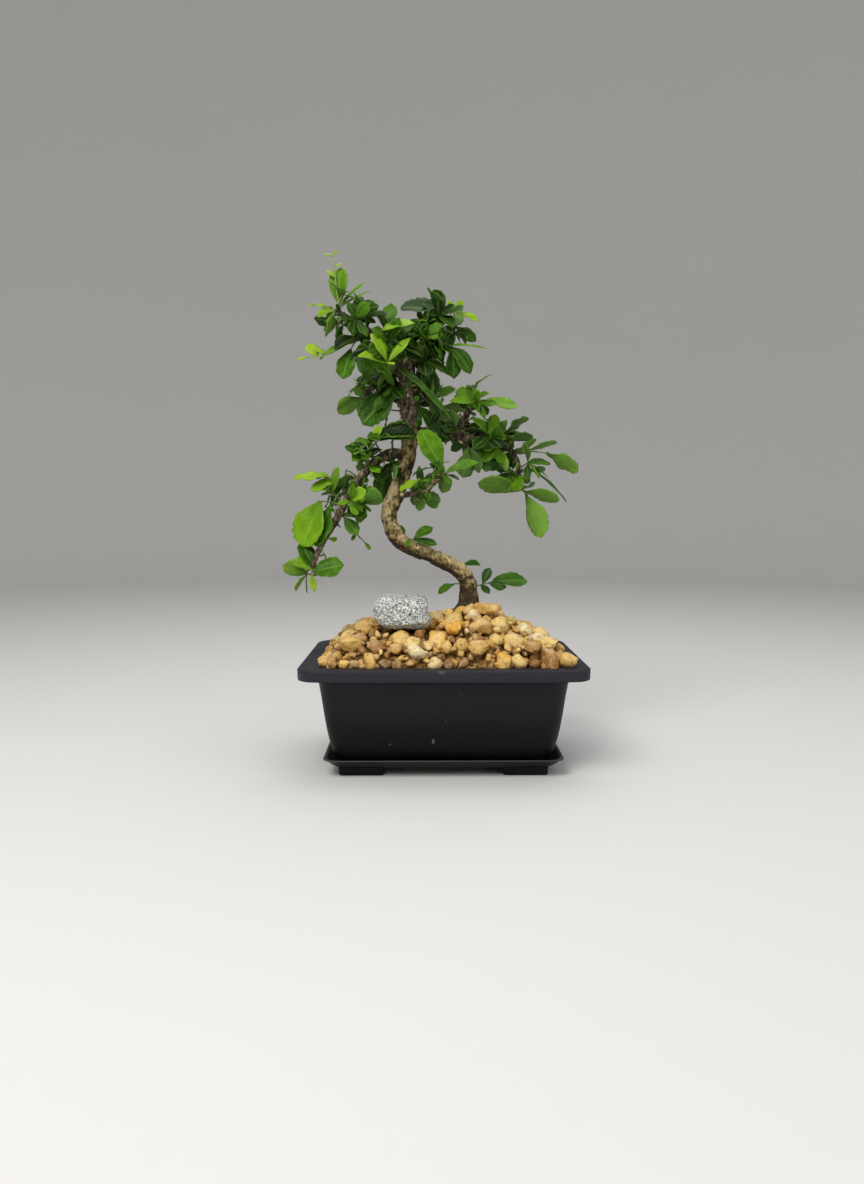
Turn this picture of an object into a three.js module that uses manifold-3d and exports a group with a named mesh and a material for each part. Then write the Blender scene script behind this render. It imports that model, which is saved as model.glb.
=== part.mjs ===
// A bonsai tree in a rectangular plastic training pot, with its drip tray, gravel and one granite stone.
// Millimetres, +Z up, +X along the long side of the pot, origin under its centre on the surface it stands on.
import * as THREE from "three";
import { mergeVertices } from "three/addons/utils/BufferGeometryUtils.js";
import Module from "manifold-3d";

const wasm = await Module();
wasm.setup();
const { Manifold } = wasm;

// Driving dimensions of the pot.
const RIM_WIDTH = 203;
const RIM_DEPTH = 152;
const RIM_HEIGHT = 79.5; // top of the rim above the surface the tray stands on
const RIM_CORNER = 12;
const FLANGE_WIDTH = 13; // from the body out to the edge of the rim
const FLANGE_THICKNESS = 2.5;
const SKIRT_HEIGHT = 7.6; // the down-turned edge of the rim
const SKIRT_THICKNESS = 1.8;
const WALL = 1.6;
const BASE_TAPER = 15.5; // how far each side of the body leans in from the rim to the base
const DRAIN_HOLE = 16;
const DRAIN_SPREAD = 76; // between the two drain holes
const PIP = 3.2; // moulded pip on the front wall

// Driving dimensions of the drip tray.
const TRAY_INSET = 16; // from the edge of the pot's rim in to the lip of the tray
const TRAY_WIDTH = RIM_WIDTH - 2 * TRAY_INSET;
const TRAY_DEPTH = RIM_DEPTH - 2 * TRAY_INSET;
const TRAY_LIP_HEIGHT = 13.2;
const TRAY_FLOOR = 8; // top of the floor the pot stands on
const TRAY_WALL = 1.6;
const TRAY_FLARE = 7.5; // how far the lip reaches out past the bottom edge
const FOOT_HEIGHT = 6;
const FOOT_LENGTH = 33;
const FOOT_DEPTH = 11;
const FOOT_GAP = 84; // between the two feet of one side

// Driving dimensions of what fills the pot.
const HEAP_EDGE = 2.5; // height of the gravel over the rim where it meets it
const HEAP_RISE = 28; // how far the heap climbs from its edge to its middle
const HEAP_KNOLL = 8; // extra height around the foot of the trunk
const GRAVEL_DEPTH = 14;
const STONE = [42, 30, 26];
const STONE_AT = [-30, -22];
const STONE_SINK = 5;

// The tree. Points are x, y, height over the rim, and radius.
const CLEARANCE = 0.3;
const TRUNK_X = 20;
const TRUNK_Y = 6;
const TREE_SCALE = 1;
const TRUNK = [
  [20, 6, 14, 9.0],
  [20, 6, 26, 10.0],
  [20, 6, 34, 8.8],
  [20, 6, 42, 7.4],
  [19.6, 6, 52, 6.7],
  [16, 5, 60, 6.5],
  [10, 4, 65, 6.1],
  [-7, 0, 74, 5.6],
  [-26, -3, 82, 6.0],
  [-35, -4, 90, 6.3],
  [-40, -3, 104, 5.9],
  [-38, -2, 113, 6.7],
  [-34, 0, 122, 6.5],
  [-29, 3, 137, 6.0],
  [-25, 5, 155, 6.3],
  [-24, 6, 176, 6.7],
  [-27, 5, 196, 6.4],
  [-25, 4, 213, 5.0],
  [-30, 1, 226, 3.0],
];
const BRANCHES = {
  left: [
    [-27, 4, 148, 4.2],
    [-35, -2, 151, 4.0],
    [-45, -8, 147, 3.7],
    [-54, -14, 139, 3.4],
    [-64, -20, 126, 3.1],
    [-73, -26, 109, 2.9],
    [-80, -29, 96, 2.5],
    [-87, -32, 83, 2.1],
    [-92, -33, 71, 1.7],
    [-91, -34, 62, 1.3],
  ],
  right: [
    [-24, 5, 168, 4.4],
    [-9, 10, 166, 4.0],
    [9, 16, 165, 3.7],
    [31, 20, 161, 3.1],
    [48, 22, 158, 2.6],
    [57, 22, 148, 2.1],
    [61, 20, 124, 1.5],
  ],
  fork: [
    [9, 16, 165, 3.2],
    [16, 14, 174, 2.8],
    [20, 12, 183, 2.4],
    [27, 10, 190, 1.7],
  ],
  crown_left: [
    [-27, 5, 200, 4.0],
    [-35, -3, 219, 3.6],
    [-48, -8, 233, 3.2],
    [-61, -10, 242, 2.9],
    [-71, -10, 248, 2.3],
    [-77, -10, 253, 1.7],
  ],
  crown_right: [
    [-25, 4, 213, 3.5],
    [-17, 8, 228, 2.9],
    [-8, 12, 241, 2.3],
    [0, 13, 248, 1.9],
    [8, 12, 252, 1.4],
  ],
  spur: [
    [-31, -3, 119, 2.4],
    [-21, -13, 121, 2.0],
    [-12, -18, 123, 1.8],
    [-4, -22, 130, 1.5],
    [0, -24, 134, 1.2],
  ],
  back: [
    [-24, 6, 184, 3.2],
    [-19, 20, 191, 2.6],
    [-10, 33, 194, 2.0],
    [0, 44, 190, 1.4],
  ],
  back_left: [
    [-27, 6, 196, 3.0],
    [-38, 18, 205, 2.4],
    [-50, 29, 205, 1.9],
    [-60, 37, 197, 1.3],
  ],
};
// Buried roots: heading in degrees, reach from the trunk, height of the tip over the rim.
const ROOTS = [
  [10, 34, -14],
  [75, 28, -22],
  [140, 40, -12],
  [200, 46, -20],
  [262, 28, -16],
  [318, 32, -20],
];
const ROOT_RADIUS = 5;

// Leaves: width over length by kind.
const LEAF_WIDTH = { broad: 0.52, round: 0.74, narrow: 0.32, blade: 0.12 };
const LEAF_THICKNESS = 1.2;
const TWIG_RADIUS = 1.1;

// Sprigs. Each holds the branch it grows on, how far along it, the heading of its twig (0 is +X, 90 is +Y),
// its climb in degrees, how much the climb changes to its tip, its length, and its leaves.
// A leaf holds its place along the twig, its heading, its climb, its length and its kind.
const SPRIGS = {
  top_leader: ["crown_left", 0.95, 170, 80, 6, 40, [
    [0.12, 100, 86, 23, "round"],
    [0.1, 5, 52, 28, "blade"],
    [0.08, 355, 38, 25, "blade"],
    [0.62, 165, 45, 9, "broad"],
    [0.8, 10, 45, 7, "narrow"],
    [1, 180, 20, 7, "broad"],
    [1, 20, 60, 6, "narrow"],
  ]],
  top_left_tuft: ["crown_left", 0.99, 185, 20, 0, 4, [
    [1, 180, 15, 17, "narrow"],
    [0.7, 190, -27, 13, "broad"],
    [0.2, 185, -40, 12, "broad"],
  ]],
  top_mid: ["crown_left", 0.8, 20, 80, 0, 9, [
    [0.9, 60, 62, 14, "broad"],
    [1, 15, 35, 15, "broad"],
    [0.8, 330, 20, 10, "broad"],
  ]],
  left_pointer: ["crown_left", 0.74, 190, -66, 66, 46, [
    [0.4, 188, -12, 19, "broad"],
    [0.85, 160, 50, 13, "round"],
    [0.7, 185, 25, 10, "broad"],
    [1, 185, -8, 9, "narrow"],
  ]],
  left_drop: ["crown_left", 0.7, 195, -60, 0, 18, [
    [1, 200, -70, 22, "round"],
    [0.35, 200, -30, 21, "broad"],
    [0.4, 340, -45, 14, "broad"],
  ]],
  crown_peak: ["crown_left", 0.38, 100, 80, 0, 15, [
    [1, 60, 84, 21, "broad"],
    [0.8, 190, 62, 17, "broad"],
    [0.7, 10, 30, 20, "broad"],
  ]],
  crown_rosette: ["crown_left", 0.22, 280, 30, 0, 6, [
    [0.9, 180, 73, 22, "broad"],
    [1, 350, 52, 25, "narrow"],
    [0.7, 185, 22, 20, "broad"],
    [1, 200, 45, 18, "broad"],
    [1, 340, -37, 52, "blade"],
    [1, 300, 14, 8, "broad"],
  ]],
  crown_yellow: ["crown_left", 0.3, 290, 66, 10, 15, [
    [1, 5, 22, 24, "broad"],
    [0.6, 330, -20, 15, "broad"],
  ]],
  crown_cap: ["crown_right", 0.9, 200, 66, 0, 9, [
    [1, 178, 8, 31, "broad"],
    [0.4, 172, 34, 20, "round"],
    [0.5, 200, -26, 24, "broad"],
  ]],
  crown_star: ["crown_right", 1, 10, 30, 0, 6, [
    [0.6, 20, 72, 12, "broad"],
    [1, 0, -16, 15, "broad"],
    [0.3, 150, 64, 14, "narrow"],
    [1, 30, 30, 8, "narrow"],
  ]],
  crown_veil: ["crown_right", 0.55, 260, 20, 0, 4, [
    [1, 183, 12, 46, "blade"],
    [1, 190, -20, 24, "broad"],
    [0.5, 350, -60, 22, "broad"],
  ]],
  crown_wing: ["crown_right", 0.66, 335, -50, 20, 20, [
    [0.9, 352, 3, 28, "blade"],
    [0.6, 110, 64, 17, "broad"],
    [1, 348, -40, 23, "round"],
    [1, 300, -74, 22, "broad"],
  ]],
  crown_inner: ["crown_right", 0.2, 310, -25, 0, 10, [
    [1, 320, -62, 26, "broad"],
    [0.6, 350, -12, 24, "broad"],
    [1, 280, -35, 20, "broad"],
  ]],
  mid_left: ["trunk", 0.88, 190, 4, -20, 9, [
    [1, 186, -44, 35, "round"],
    [0.5, 168, -16, 31, "broad"],
  ]],
  mid_dark: ["trunk", 0.84, 340, -20, 0, 8, [
    [1, 350, -50, 28, "broad"],
    [0.7, 20, 0, 26, "broad"],
    [0.5, 300, -70, 20, "broad"],
  ]],
  left_shoulder: ["left", 0.17, 200, 60, 0, 16, [
    [1, 356, 4, 32, "broad"],
    [0.9, 186, -16, 20, "round"],
    [0.8, 40, 66, 13, "broad"],
    [0.3, 188, -16, 18, "broad"],
  ]],
  left_reach: ["left", 0.4, 192, 12, -4, 22, [
    [1, 182, 4, 24, "narrow"],
    [0.5, 186, -14, 24, "broad"],
    [0.3, 195, -36, 20, "broad"],
    [0.9, 150, 12, 16, "broad"],
  ]],
  left_drape: ["left", 0.56, 192, 16, -10, 17, [
    [1, 190, -70, 35, "broad"],
    [0.5, 215, -60, 33, "broad"],
    [0.9, 140, -20, 16, "broad"],
  ]],
  left_dangle: ["left", 0.6, 350, -60, 18, 28, [
    [0.1, 355, 6, 16, "round"],
    [0.15, 320, -40, 18, "broad"],
    [1, 0, -50, 7, "broad"],
    [0.7, 200, -50, 6, "broad"],
  ]],
  left_tip: ["left", 0.96, 230, -40, 0, 4, [
    [0.3, 178, 24, 17, "round"],
    [0.8, 350, 16, 23, "round"],
    [1, 330, -80, 14, "narrow"],
    [0.2, 150, 62, 23, "broad"],
  ]],
  upper_bend: ["trunk", 0.65, 160, 0, 0, 12, [
    [1, 192, -66, 31, "broad"],
    [0.8, 120, -20, 24, "broad"],
  ]],
  fork_tip: ["fork", 1, 350, 20, 0, 3, [
    [1, 358, -6, 27, "broad"],
    [0.5, 150, 50, 11, "broad"],
    [0.2, 320, -50, 13, "broad"],
  ]],
  right_upper: ["right", 0.63, 30, 62, 0, 9, [
    [1, 15, 40, 22, "broad"],
    [0.8, 340, 10, 14, "broad"],
    [0.6, 150, 50, 16, "broad"],
  ]],
  right_reach: ["right", 0.74, 12, 10, -20, 27, [
    [0.15, 20, 38, 18, "broad"],
    [0.4, 8, 22, 25, "broad"],
    [1, 2, -24, 28, "broad"],
  ]],
  right_ribbon: ["right", 0.87, 0, 14, -30, 12, [
    [1, 352, -34, 34, "blade"],
    [0.6, 30, 6, 16, "broad"],
  ]],
  right_under: ["right", 0.56, 285, -40, 0, 5, [
    [1, 338, -50, 23, "broad"],
    [0.8, 200, -76, 21, "broad"],
    [0.3, 190, -30, 20, "round"],
  ]],
  right_dark: ["right", 0.4, 280, -60, 0, 13, [
    [1, 200, -72, 20, "round"],
    [0.6, 340, -60, 22, "broad"],
  ]],
  right_tip: ["right", 0.98, 320, -50, 0, 7, [
    [0.5, 186, 13, 36, "broad"],
    [0.6, 354, -10, 28, "broad"],
    [1, 333, -64, 36, "broad"],
    [0.3, 60, 10, 20, "broad"],
  ]],
  spur_diamond: ["spur", 0.97, 300, 60, 0, 3, [
    [1, 190, 64, 34, "broad"],
    [0.6, 352, 22, 27, "narrow"],
    [0.4, 330, -40, 10, "broad"],
  ]],
  spur_low: ["spur", 0.45, 280, 70, 0, 10, [
    [1, 188, -22, 17, "broad"],
    [0.8, 340, 20, 9, "broad"],
  ]],
  trunk_tuft: ["trunk", 0.385, 335, 2, 0, 12, [
    [0.4, 0, 50, 11, "broad"],
    [1, 8, 22, 17, "broad"],
    [0.9, 350, -20, 21, "broad"],
    [0.4, 300, -30, 9, "broad"],
  ]],
  bend_tuft: ["trunk", 0.15, 50, 20, 0, 9, [
    [1, 5, 6, 15, "broad"],
    [0.9, 160, 26, 12, "broad"],
  ]],
  base_right: ["trunk", 0.1, 345, 14, 0, 16, [
    [1, 358, 16, 29, "broad"],
    [0.7, 20, 66, 14, "broad"],
    [1, 335, -10, 14, "broad"],
    [0.6, 300, -14, 11, "broad"],
  ]],
  base_left: ["trunk", 0.115, 215, 0, 0, 12, [
    [1, 186, -16, 14, "broad"],
  ]],
  crown_back: ["crown_right", 0.5, 100, 30, 0, 7, [
    [1, 90, 20, 26, "broad"],
    [0.8, 135, 50, 22, "broad"],
    [0.8, 45, -30, 24, "broad"],
  ]],
  crown_left_back: ["crown_left", 0.45, 100, 20, 0, 6, [
    [1, 110, 10, 24, "broad"],
    [0.8, 150, -35, 22, "broad"],
    [0.8, 60, 30, 20, "broad"],
  ]],
  back_mid: ["back", 0.5, 70, 40, 0, 6, [
    [1, 60, 24, 26, "broad"],
    [0.8, 120, 44, 24, "broad"],
    [0.5, 215, -24, 20, "broad"],
  ]],
  back_tip: ["back", 1, 70, -10, 0, 4, [
    [1, 62, -30, 25, "broad"],
    [0.8, 118, -24, 23, "broad"],
    [0.6, 15, 10, 22, "round"],
  ]],
  back_left_mid: ["back_left", 0.55, 120, 60, 0, 6, [
    [1, 110, 30, 24, "broad"],
    [0.8, 185, 30, 22, "broad"],
    [0.5, 60, -24, 22, "broad"],
  ]],
  back_left_tip: ["back_left", 1, 150, -10, 0, 4, [
    [1, 145, -24, 24, "broad"],
    [0.8, 190, -26, 22, "broad"],
    [0.6, 90, -30, 24, "broad"],
  ]],
  right_back: ["right", 0.5, 90, 24, 0, 7, [
    [1, 84, 8, 26, "broad"],
    [0.8, 128, -26, 22, "broad"],
    [0.7, 40, -30, 22, "broad"],
  ]],
  mid_back: ["trunk", 0.78, 95, 12, 0, 8, [
    [1, 100, -26, 27, "broad"],
    [0.8, 55, -48, 23, "broad"],
    [0.8, 150, -40, 25, "broad"],
  ]],
};

// Larger loose pebbles: x, y, and length, width, height, and heading.
const PEBBLES = {
  pebble_trunk: [33, -14, 21, 15, 10, 8],
  pebble_orange: [8, -37, 15, 12, 10, 30],
  pebble_cream: [-19, -57, 16, 12, 11, 350],
  pebble_left: [-66, -46, 16, 13, 10, 160],
  pebble_front: [25, -56, 15, 12, 11, 20],
  pebble_rust: [63, -51, 17, 12, 10, 75],
  pebble_corner: [76, -36, 15, 12, 9, 320],
  pebble_back: [-8, 40, 17, 13, 10, 45],
};

const standard = (color, roughness, metalness = 0) =>
  new THREE.MeshStandardMaterial({ color, roughness, metalness });
const materials = {
  pot: standard(0x1c1b20, 0.62),
  tray: standard(0x141417, 0.5),
  soil: standard(0x35261a, 0.95),
  gravel: standard(0xb4885a, 0.8),
  granite: standard(0xa9abab, 0.7),
  bark: standard(0x7c6a55, 0.85),
  leaf: standard(0x3f7d22, 0.42),
  youngLeaf: standard(0x86b52c, 0.45),
};
const PEBBLE_COLOURS = {
  pebble_trunk: 0xc08a50,
  pebble_orange: 0xc27a3a,
  pebble_cream: 0xe2d6bf,
  pebble_left: 0xb58d63,
  pebble_front: 0xa98355,
  pebble_rust: 0xa05f34,
  pebble_corner: 0xb08a62,
  pebble_back: 0xae8457,
};
const YOUNG = [
  "top_leader", "top_left_tuft", "left_pointer", "crown_rosette", "crown_yellow", "crown_star",
  "left_reach", "left_tip", "right_reach", "spur_low",
];

const part = new THREE.Group();
part.name = "bonsai_in_pot";

const radians = THREE.MathUtils.degToRad;
const vec = (x, y, z) => new THREE.Vector3(x, y, z);

// A closed solid through rings of equal point counts, each ring running anticlockwise seen from its far end.
// It is a capped cylinder whose rows are moved onto the rings.
function loft(rings) {
  const count = rings[0].length;
  const last = rings.length - 1;
  const middle = (ring) =>
    ring.reduce((sum, p) => sum.add(p), vec(0, 0, 0)).divideScalar(count);
  const geometry = new THREE.CylinderGeometry(1, 1, 1, count, last);
  const position = geometry.getAttribute("position");
  for (let i = 0; i < position.count; i++) {
    const from = vec().fromBufferAttribute(position, i);
    const ring = rings[Math.round((from.y + 0.5) * last)];
    const turn = Math.atan2(from.x, from.z) / (Math.PI * 2);
    const column = (Math.round(turn * count) + count) % count;
    const to = Math.hypot(from.x, from.z) < 0.5 ? middle(ring) : ring[column];
    position.setXYZ(i, to.x, to.y, to.z);
  }
  return solidOf(geometry);
}

// A three.js geometry as a solid, its shared corners merged.
function solidOf(geometry) {
  geometry.deleteAttribute("normal");
  geometry.deleteAttribute("uv");
  const merged = mergeVertices(geometry, 1e-4);
  return new Manifold(
    new wasm.Mesh({
      numProp: 3,
      vertProperties: merged.getAttribute("position").array,
      triVerts: new Uint32Array(merged.index.array),
    }),
  );
}

// The largest body of a solid, with slivers smoothed away.
function largest(solid) {
  const bodies = solid.decompose();
  bodies.sort((a, b) => b.volume() - a.volume());
  return bodies[0].simplify(0.02);
}

function addNode(name, solid, material) {
  const mesh = solid.getMesh();
  const geometry = new THREE.BufferGeometry();
  const count = mesh.numVert;
  const xyz = new Float32Array(count * 3);
  for (let i = 0; i < count; i++) {
    xyz.set(mesh.vertProperties.subarray(i * mesh.numProp, i * mesh.numProp + 3), i * 3);
  }
  geometry.setAttribute("position", new THREE.BufferAttribute(xyz, 3));
  geometry.setIndex(new THREE.BufferAttribute(new Uint32Array(mesh.triVerts), 1));
  geometry.computeVertexNormals();
  const node = new THREE.Mesh(geometry, material.clone());
  node.name = name;
  part.add(node);
  return node;
}

// A rounded rectangle, anticlockwise from above. Each side is split into as many steps as asked.
function outline(halfWidth, halfDepth, corner, z, along = 1) {
  const points = [];
  const arc = 4;
  const radius = Math.min(corner, halfWidth * 0.9, halfDepth * 0.9);
  const turns = [[1, 1], [-1, 1], [-1, -1], [1, -1]];
  turns.forEach(([sx, sy], k) => {
    const cx = sx * (halfWidth - radius);
    const cy = sy * (halfDepth - radius);
    for (let i = 0; i <= arc; i++) {
      const angle = (k + i / arc) * (Math.PI / 2);
      points.push(vec(cx + radius * Math.cos(angle), cy + radius * Math.sin(angle), z));
    }
    const from = points[points.length - 1];
    const [nx, ny] = turns[(k + 1) % 4];
    const nextAngle = (k + 1) * (Math.PI / 2);
    const to = vec(
      nx * (halfWidth - radius) + radius * Math.cos(nextAngle),
      ny * (halfDepth - radius) + radius * Math.sin(nextAngle),
      z,
    );
    for (let i = 1; i < along; i++) points.push(from.clone().lerp(to, i / along));
  });
  return points;
}

// Half the width and depth of the pot's body at a height, measured on the outside.
const BODY_HALF_WIDTH = RIM_WIDTH / 2 - FLANGE_WIDTH;
const BODY_HALF_DEPTH = RIM_DEPTH / 2 - FLANGE_WIDTH;
const POT_BASE = TRAY_FLOOR + CLEARANCE;
const BODY_PROFILE = [
  [0, 1],
  [0.05, 0.8],
  [0.19, 0.61],
  [0.26, 0.46],
  [0.36, 0.34],
  [0.52, 0.23],
  [0.69, 0.14],
  [0.86, 0.02],
];
const FILLET = 1.6;
const bodyRing = ([share, lean], inset = 0, lift = 0) =>
  outline(
    BODY_HALF_WIDTH - BASE_TAPER * lean - inset,
    BODY_HALF_DEPTH - BASE_TAPER * lean - inset,
    RIM_CORNER - 2 - inset,
    POT_BASE + (RIM_HEIGHT - POT_BASE) * share + lift,
  );

function makePot() {
  const rimRing = (inset, z) =>
    outline(RIM_WIDTH / 2 - inset, RIM_DEPTH / 2 - inset, Math.max(RIM_CORNER - inset, 4), z);
  const under = RIM_HEIGHT - FLANGE_THICKNESS;
  const skirt = RIM_HEIGHT - SKIRT_HEIGHT;
  const outside = [
    outline(1, 1, 0.5, POT_BASE),
    ...BODY_PROFILE.map((step) => bodyRing(step)),
    bodyRing([0.872, 0], -FILLET),
    bodyRing([0.9, 0], -FILLET),
    rimRing(FLANGE_WIDTH - FILLET, under),
  ];
  const rim = [
    rimRing(SKIRT_THICKNESS, under),
    rimRing(SKIRT_THICKNESS, skirt),
    rimRing(0, skirt),
    rimRing(0, RIM_HEIGHT - 0.6),
    rimRing(0.6, RIM_HEIGHT),
    rimRing(FLANGE_WIDTH + 0.6, RIM_HEIGHT),
    rimRing(FLANGE_WIDTH + 1.2, RIM_HEIGHT - 0.8),
  ];
  const inside = [...BODY_PROFILE]
    .reverse()
    .map(([share, lean]) =>
      bodyRing([share, lean], WALL, share < 0.04 ? WALL * 1.2 : 0),
    );
  const inner = outline(1, 1, 0.5, POT_BASE + WALL * 1.2);
  let pot = loft([...outside, ...rim, ...inside, inner]);
  const hole = new THREE.CylinderGeometry(DRAIN_HOLE / 2, DRAIN_HOLE / 2, 12, 20);
  hole.rotateX(Math.PI / 2);
  for (const side of [-1, 1]) {
    const cut = solidOf(hole).translate([(side * DRAIN_SPREAD) / 2, 0, POT_BASE]);
    pot = pot.subtract(cut);
  }
  const pip = new THREE.SphereGeometry(PIP / 2, 10, 6);
  const wallY = -(BODY_HALF_DEPTH - BASE_TAPER * 0.47);
  const pipZ = POT_BASE + (RIM_HEIGHT - POT_BASE) * 0.253;
  pot = pot.add(solidOf(pip).translate([-7.4, wallY - 0.2, pipZ]));
  const nick = solidOf(new THREE.BoxGeometry(2.6, 1.4, 1)).rotate([0, 18, 0]);
  pot = pot.subtract(nick.translate([-2, -RIM_DEPTH / 2, RIM_HEIGHT]));
  return pot;
}

function makeTray() {
  const halfWidth = TRAY_WIDTH / 2;
  const halfDepth = TRAY_DEPTH / 2;
  const ring = (inset, z) =>
    outline(halfWidth - inset, halfDepth - inset, RIM_CORNER - 1, z);
  let tray = loft([
    outline(1, 1, 0.5, FOOT_HEIGHT),
    ring(TRAY_FLARE + 1, FOOT_HEIGHT),
    ring(TRAY_FLARE - 0.6, FOOT_HEIGHT + 1),
    ring(TRAY_FLARE - 4, FOOT_HEIGHT + 4),
    ring(1.2, TRAY_LIP_HEIGHT - 1.1),
    ring(0, TRAY_LIP_HEIGHT - 0.9),
    ring(0, TRAY_LIP_HEIGHT),
    ring(TRAY_WALL, TRAY_LIP_HEIGHT),
    ring(TRAY_FLARE - 4 + TRAY_WALL, FOOT_HEIGHT + 4.4),
    ring(TRAY_FLARE + TRAY_WALL, TRAY_FLOOR),
    outline(1, 1, 0.5, TRAY_FLOOR),
  ]);
  for (const sx of [-1, 1]) {
    for (const sy of [-1, 1]) {
      const lower = outline(FOOT_LENGTH / 2 - 1, FOOT_DEPTH / 2 - 1, 2, 0);
      const upper = outline(FOOT_LENGTH / 2, FOOT_DEPTH / 2, 2.5, FOOT_HEIGHT + 0.6);
      const x = sx * (FOOT_GAP / 2 + FOOT_LENGTH / 2);
      const y = sy * (halfDepth - TRAY_FLARE - FOOT_DEPTH / 2 - 1.2);
      tray = tray.add(loft([lower, upper]).translate([x, y, 0]));
    }
  }
  return tray;
}

// The height of the gravel heap over the floor of the frame.
function heap(x, y) {
  const across = 1 - Math.pow(Math.min(Math.abs(x) / (RIM_WIDTH * 0.473), 1), 3);
  const depth = 1 - Math.pow(Math.min(Math.abs(y) / (RIM_DEPTH * 0.428), 1), 1.9);
  const knoll = Math.exp(-(((x - TRUNK_X - 6) / 18) ** 2));
  return RIM_HEIGHT + HEAP_EDGE + (HEAP_RISE * across + HEAP_KNOLL * knoll) * depth;
}

// Small lumps over the heap, as loose pebbles leave them.
function lumps(x, y) {
  return (
    1.3 * Math.sin(x * 0.71 + 1.3 * Math.sin(y * 0.43)) * Math.cos(y * 0.66 + 0.4) +
    0.8 * Math.sin(x * 0.37 - y * 0.52 + 2.1)
  );
}

const SHARES = [0.2, 0.42, 0.64, 0.84, 1];
const SOIL_SHARES = [0.3, 0.6, 0.85, 1];
const SIDE_STEPS = 5;

function makeSoil() {
  const halfWidth = BODY_HALF_WIDTH - WALL - CLEARANCE;
  const halfDepth = BODY_HALF_DEPTH - WALL - CLEARANCE;
  const floor = POT_BASE + WALL * 1.2 + CLEARANCE;
  const walls = BODY_PROFILE.slice(0, -1).map(([share, lean]) =>
    bodyRing([share, lean], WALL + CLEARANCE, 0).map((p) =>
      vec(p.x, p.y, Math.max(p.z, floor)),
    ),
  );
  walls.splice(1, 1);
  const top = [...SOIL_SHARES].reverse().map((share) =>
    outline(halfWidth - 1, halfDepth - 1, RIM_CORNER - 2, 0).map((p) =>
      vec(p.x * share, p.y * share, heap(p.x * share, p.y * share) - GRAVEL_DEPTH),
    ),
  );
  const tiny = (z) => outline(1, 1, 0.5, z);
  return loft([
    tiny(floor),
    ...walls,
    ...top,
    outline(1, 1, 0.5, heap(0, 0) - GRAVEL_DEPTH),
  ]);
}

function makeGravel() {
  const low = outline(BODY_HALF_WIDTH - WALL - CLEARANCE - 2, BODY_HALF_DEPTH - WALL - CLEARANCE - 2,
    RIM_CORNER - 2, 0, SIDE_STEPS);
  const high = outline(BODY_HALF_WIDTH - 1.7, BODY_HALF_DEPTH - 1.7, RIM_CORNER - 2, 0, SIDE_STEPS);
  const under = [0.4, 1].map((share) =>
    low.map((p) =>
      vec(p.x * share, p.y * share, heap(p.x * share, p.y * share) - GRAVEL_DEPTH - 1),
    ),
  );
  const over = [...SHARES].reverse().map((share) =>
    high.map((p) => {
      const x = p.x * share;
      const y = p.y * share;
      return vec(x, y, heap(x, y) + lumps(x, y));
    }),
  );
  return loft([
    outline(1, 1, 0.5, heap(0, 0) - GRAVEL_DEPTH - 1, SIDE_STEPS),
    ...under,
    ...over,
    outline(1, 1, 0.5, heap(0, 0), SIDE_STEPS),
  ]).subtract(makeSoil().translate([0, 0, CLEARANCE]));
}

// A rounded lump of rock. Squareness runs from 0, an ellipsoid, towards 1, a block.
function rock([length, width, height], squareness, roughness, detail, seed, grow = 0) {
  const geometry = new THREE.IcosahedronGeometry(1, detail);
  const position = geometry.getAttribute("position");
  const power = 2 + squareness * 6;
  for (let i = 0; i < position.count; i++) {
    const p = vec().fromBufferAttribute(position, i);
    const norm = Math.pow(
      Math.abs(p.x) ** power + Math.abs(p.y) ** power + Math.abs(p.z) ** power,
      1 / power,
    );
    const wobble =
      1 + roughness * (Math.sin(p.x * 3.1 + seed) * Math.cos(p.y * 2.7 + seed * 2) +
        0.6 * Math.sin(p.z * 4.3 + seed * 3));
    p.multiplyScalar(wobble / norm);
    position.setXYZ(i, p.x * (length / 2 + grow), p.y * (width / 2 + grow), p.z * (height / 2 + grow));
  }
  return solidOf(geometry);
}

// A round tube along points that each hold a radius.
function tube(points, sides, steps, grow = 0) {
  const curve = new THREE.CatmullRomCurve3(
    points.map(([x, y, z]) => vec(x, y, z)), false, "catmullrom", 0.5);
  const frames = curve.computeFrenetFrames(steps, false);
  const rings = [];
  for (let k = 0; k <= steps; k++) {
    const u = curve.getUtoTmapping(k / steps);
    const index = Math.min(Math.floor(u * (points.length - 1)), points.length - 2);
    const share = u * (points.length - 1) - index;
    const radius = points[index][3] * (1 - share) + points[index + 1][3] * share + grow;
    const overshoot = k === 0 ? -grow : k === steps ? grow : 0;
    const centre = curve.getPoint(u).addScaledVector(frames.tangents[k], overshoot);
    const ring = [];
    for (let i = 0; i < sides; i++) {
      const angle = (i / sides) * Math.PI * 2;
      ring.push(
        centre.clone()
          .addScaledVector(frames.normals[k], Math.cos(angle) * radius)
          .addScaledVector(frames.binormals[k], Math.sin(angle) * radius),
      );
    }
    rings.push(ring);
  }
  return loft(rings);
}

const onTree = (points) =>
  points.map(([x, y, z, r]) => [
    TRUNK_X + (x - TRUNK_X) * TREE_SCALE,
    TRUNK_Y + (y - TRUNK_Y) * TREE_SCALE,
    RIM_HEIGHT + 34 + (z - 34) * TREE_SCALE,
    r * TREE_SCALE,
  ]);

const WOOD = { trunk: onTree(TRUNK) };
for (const [name, points] of Object.entries(BRANCHES)) WOOD[name] = onTree(points);

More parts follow.
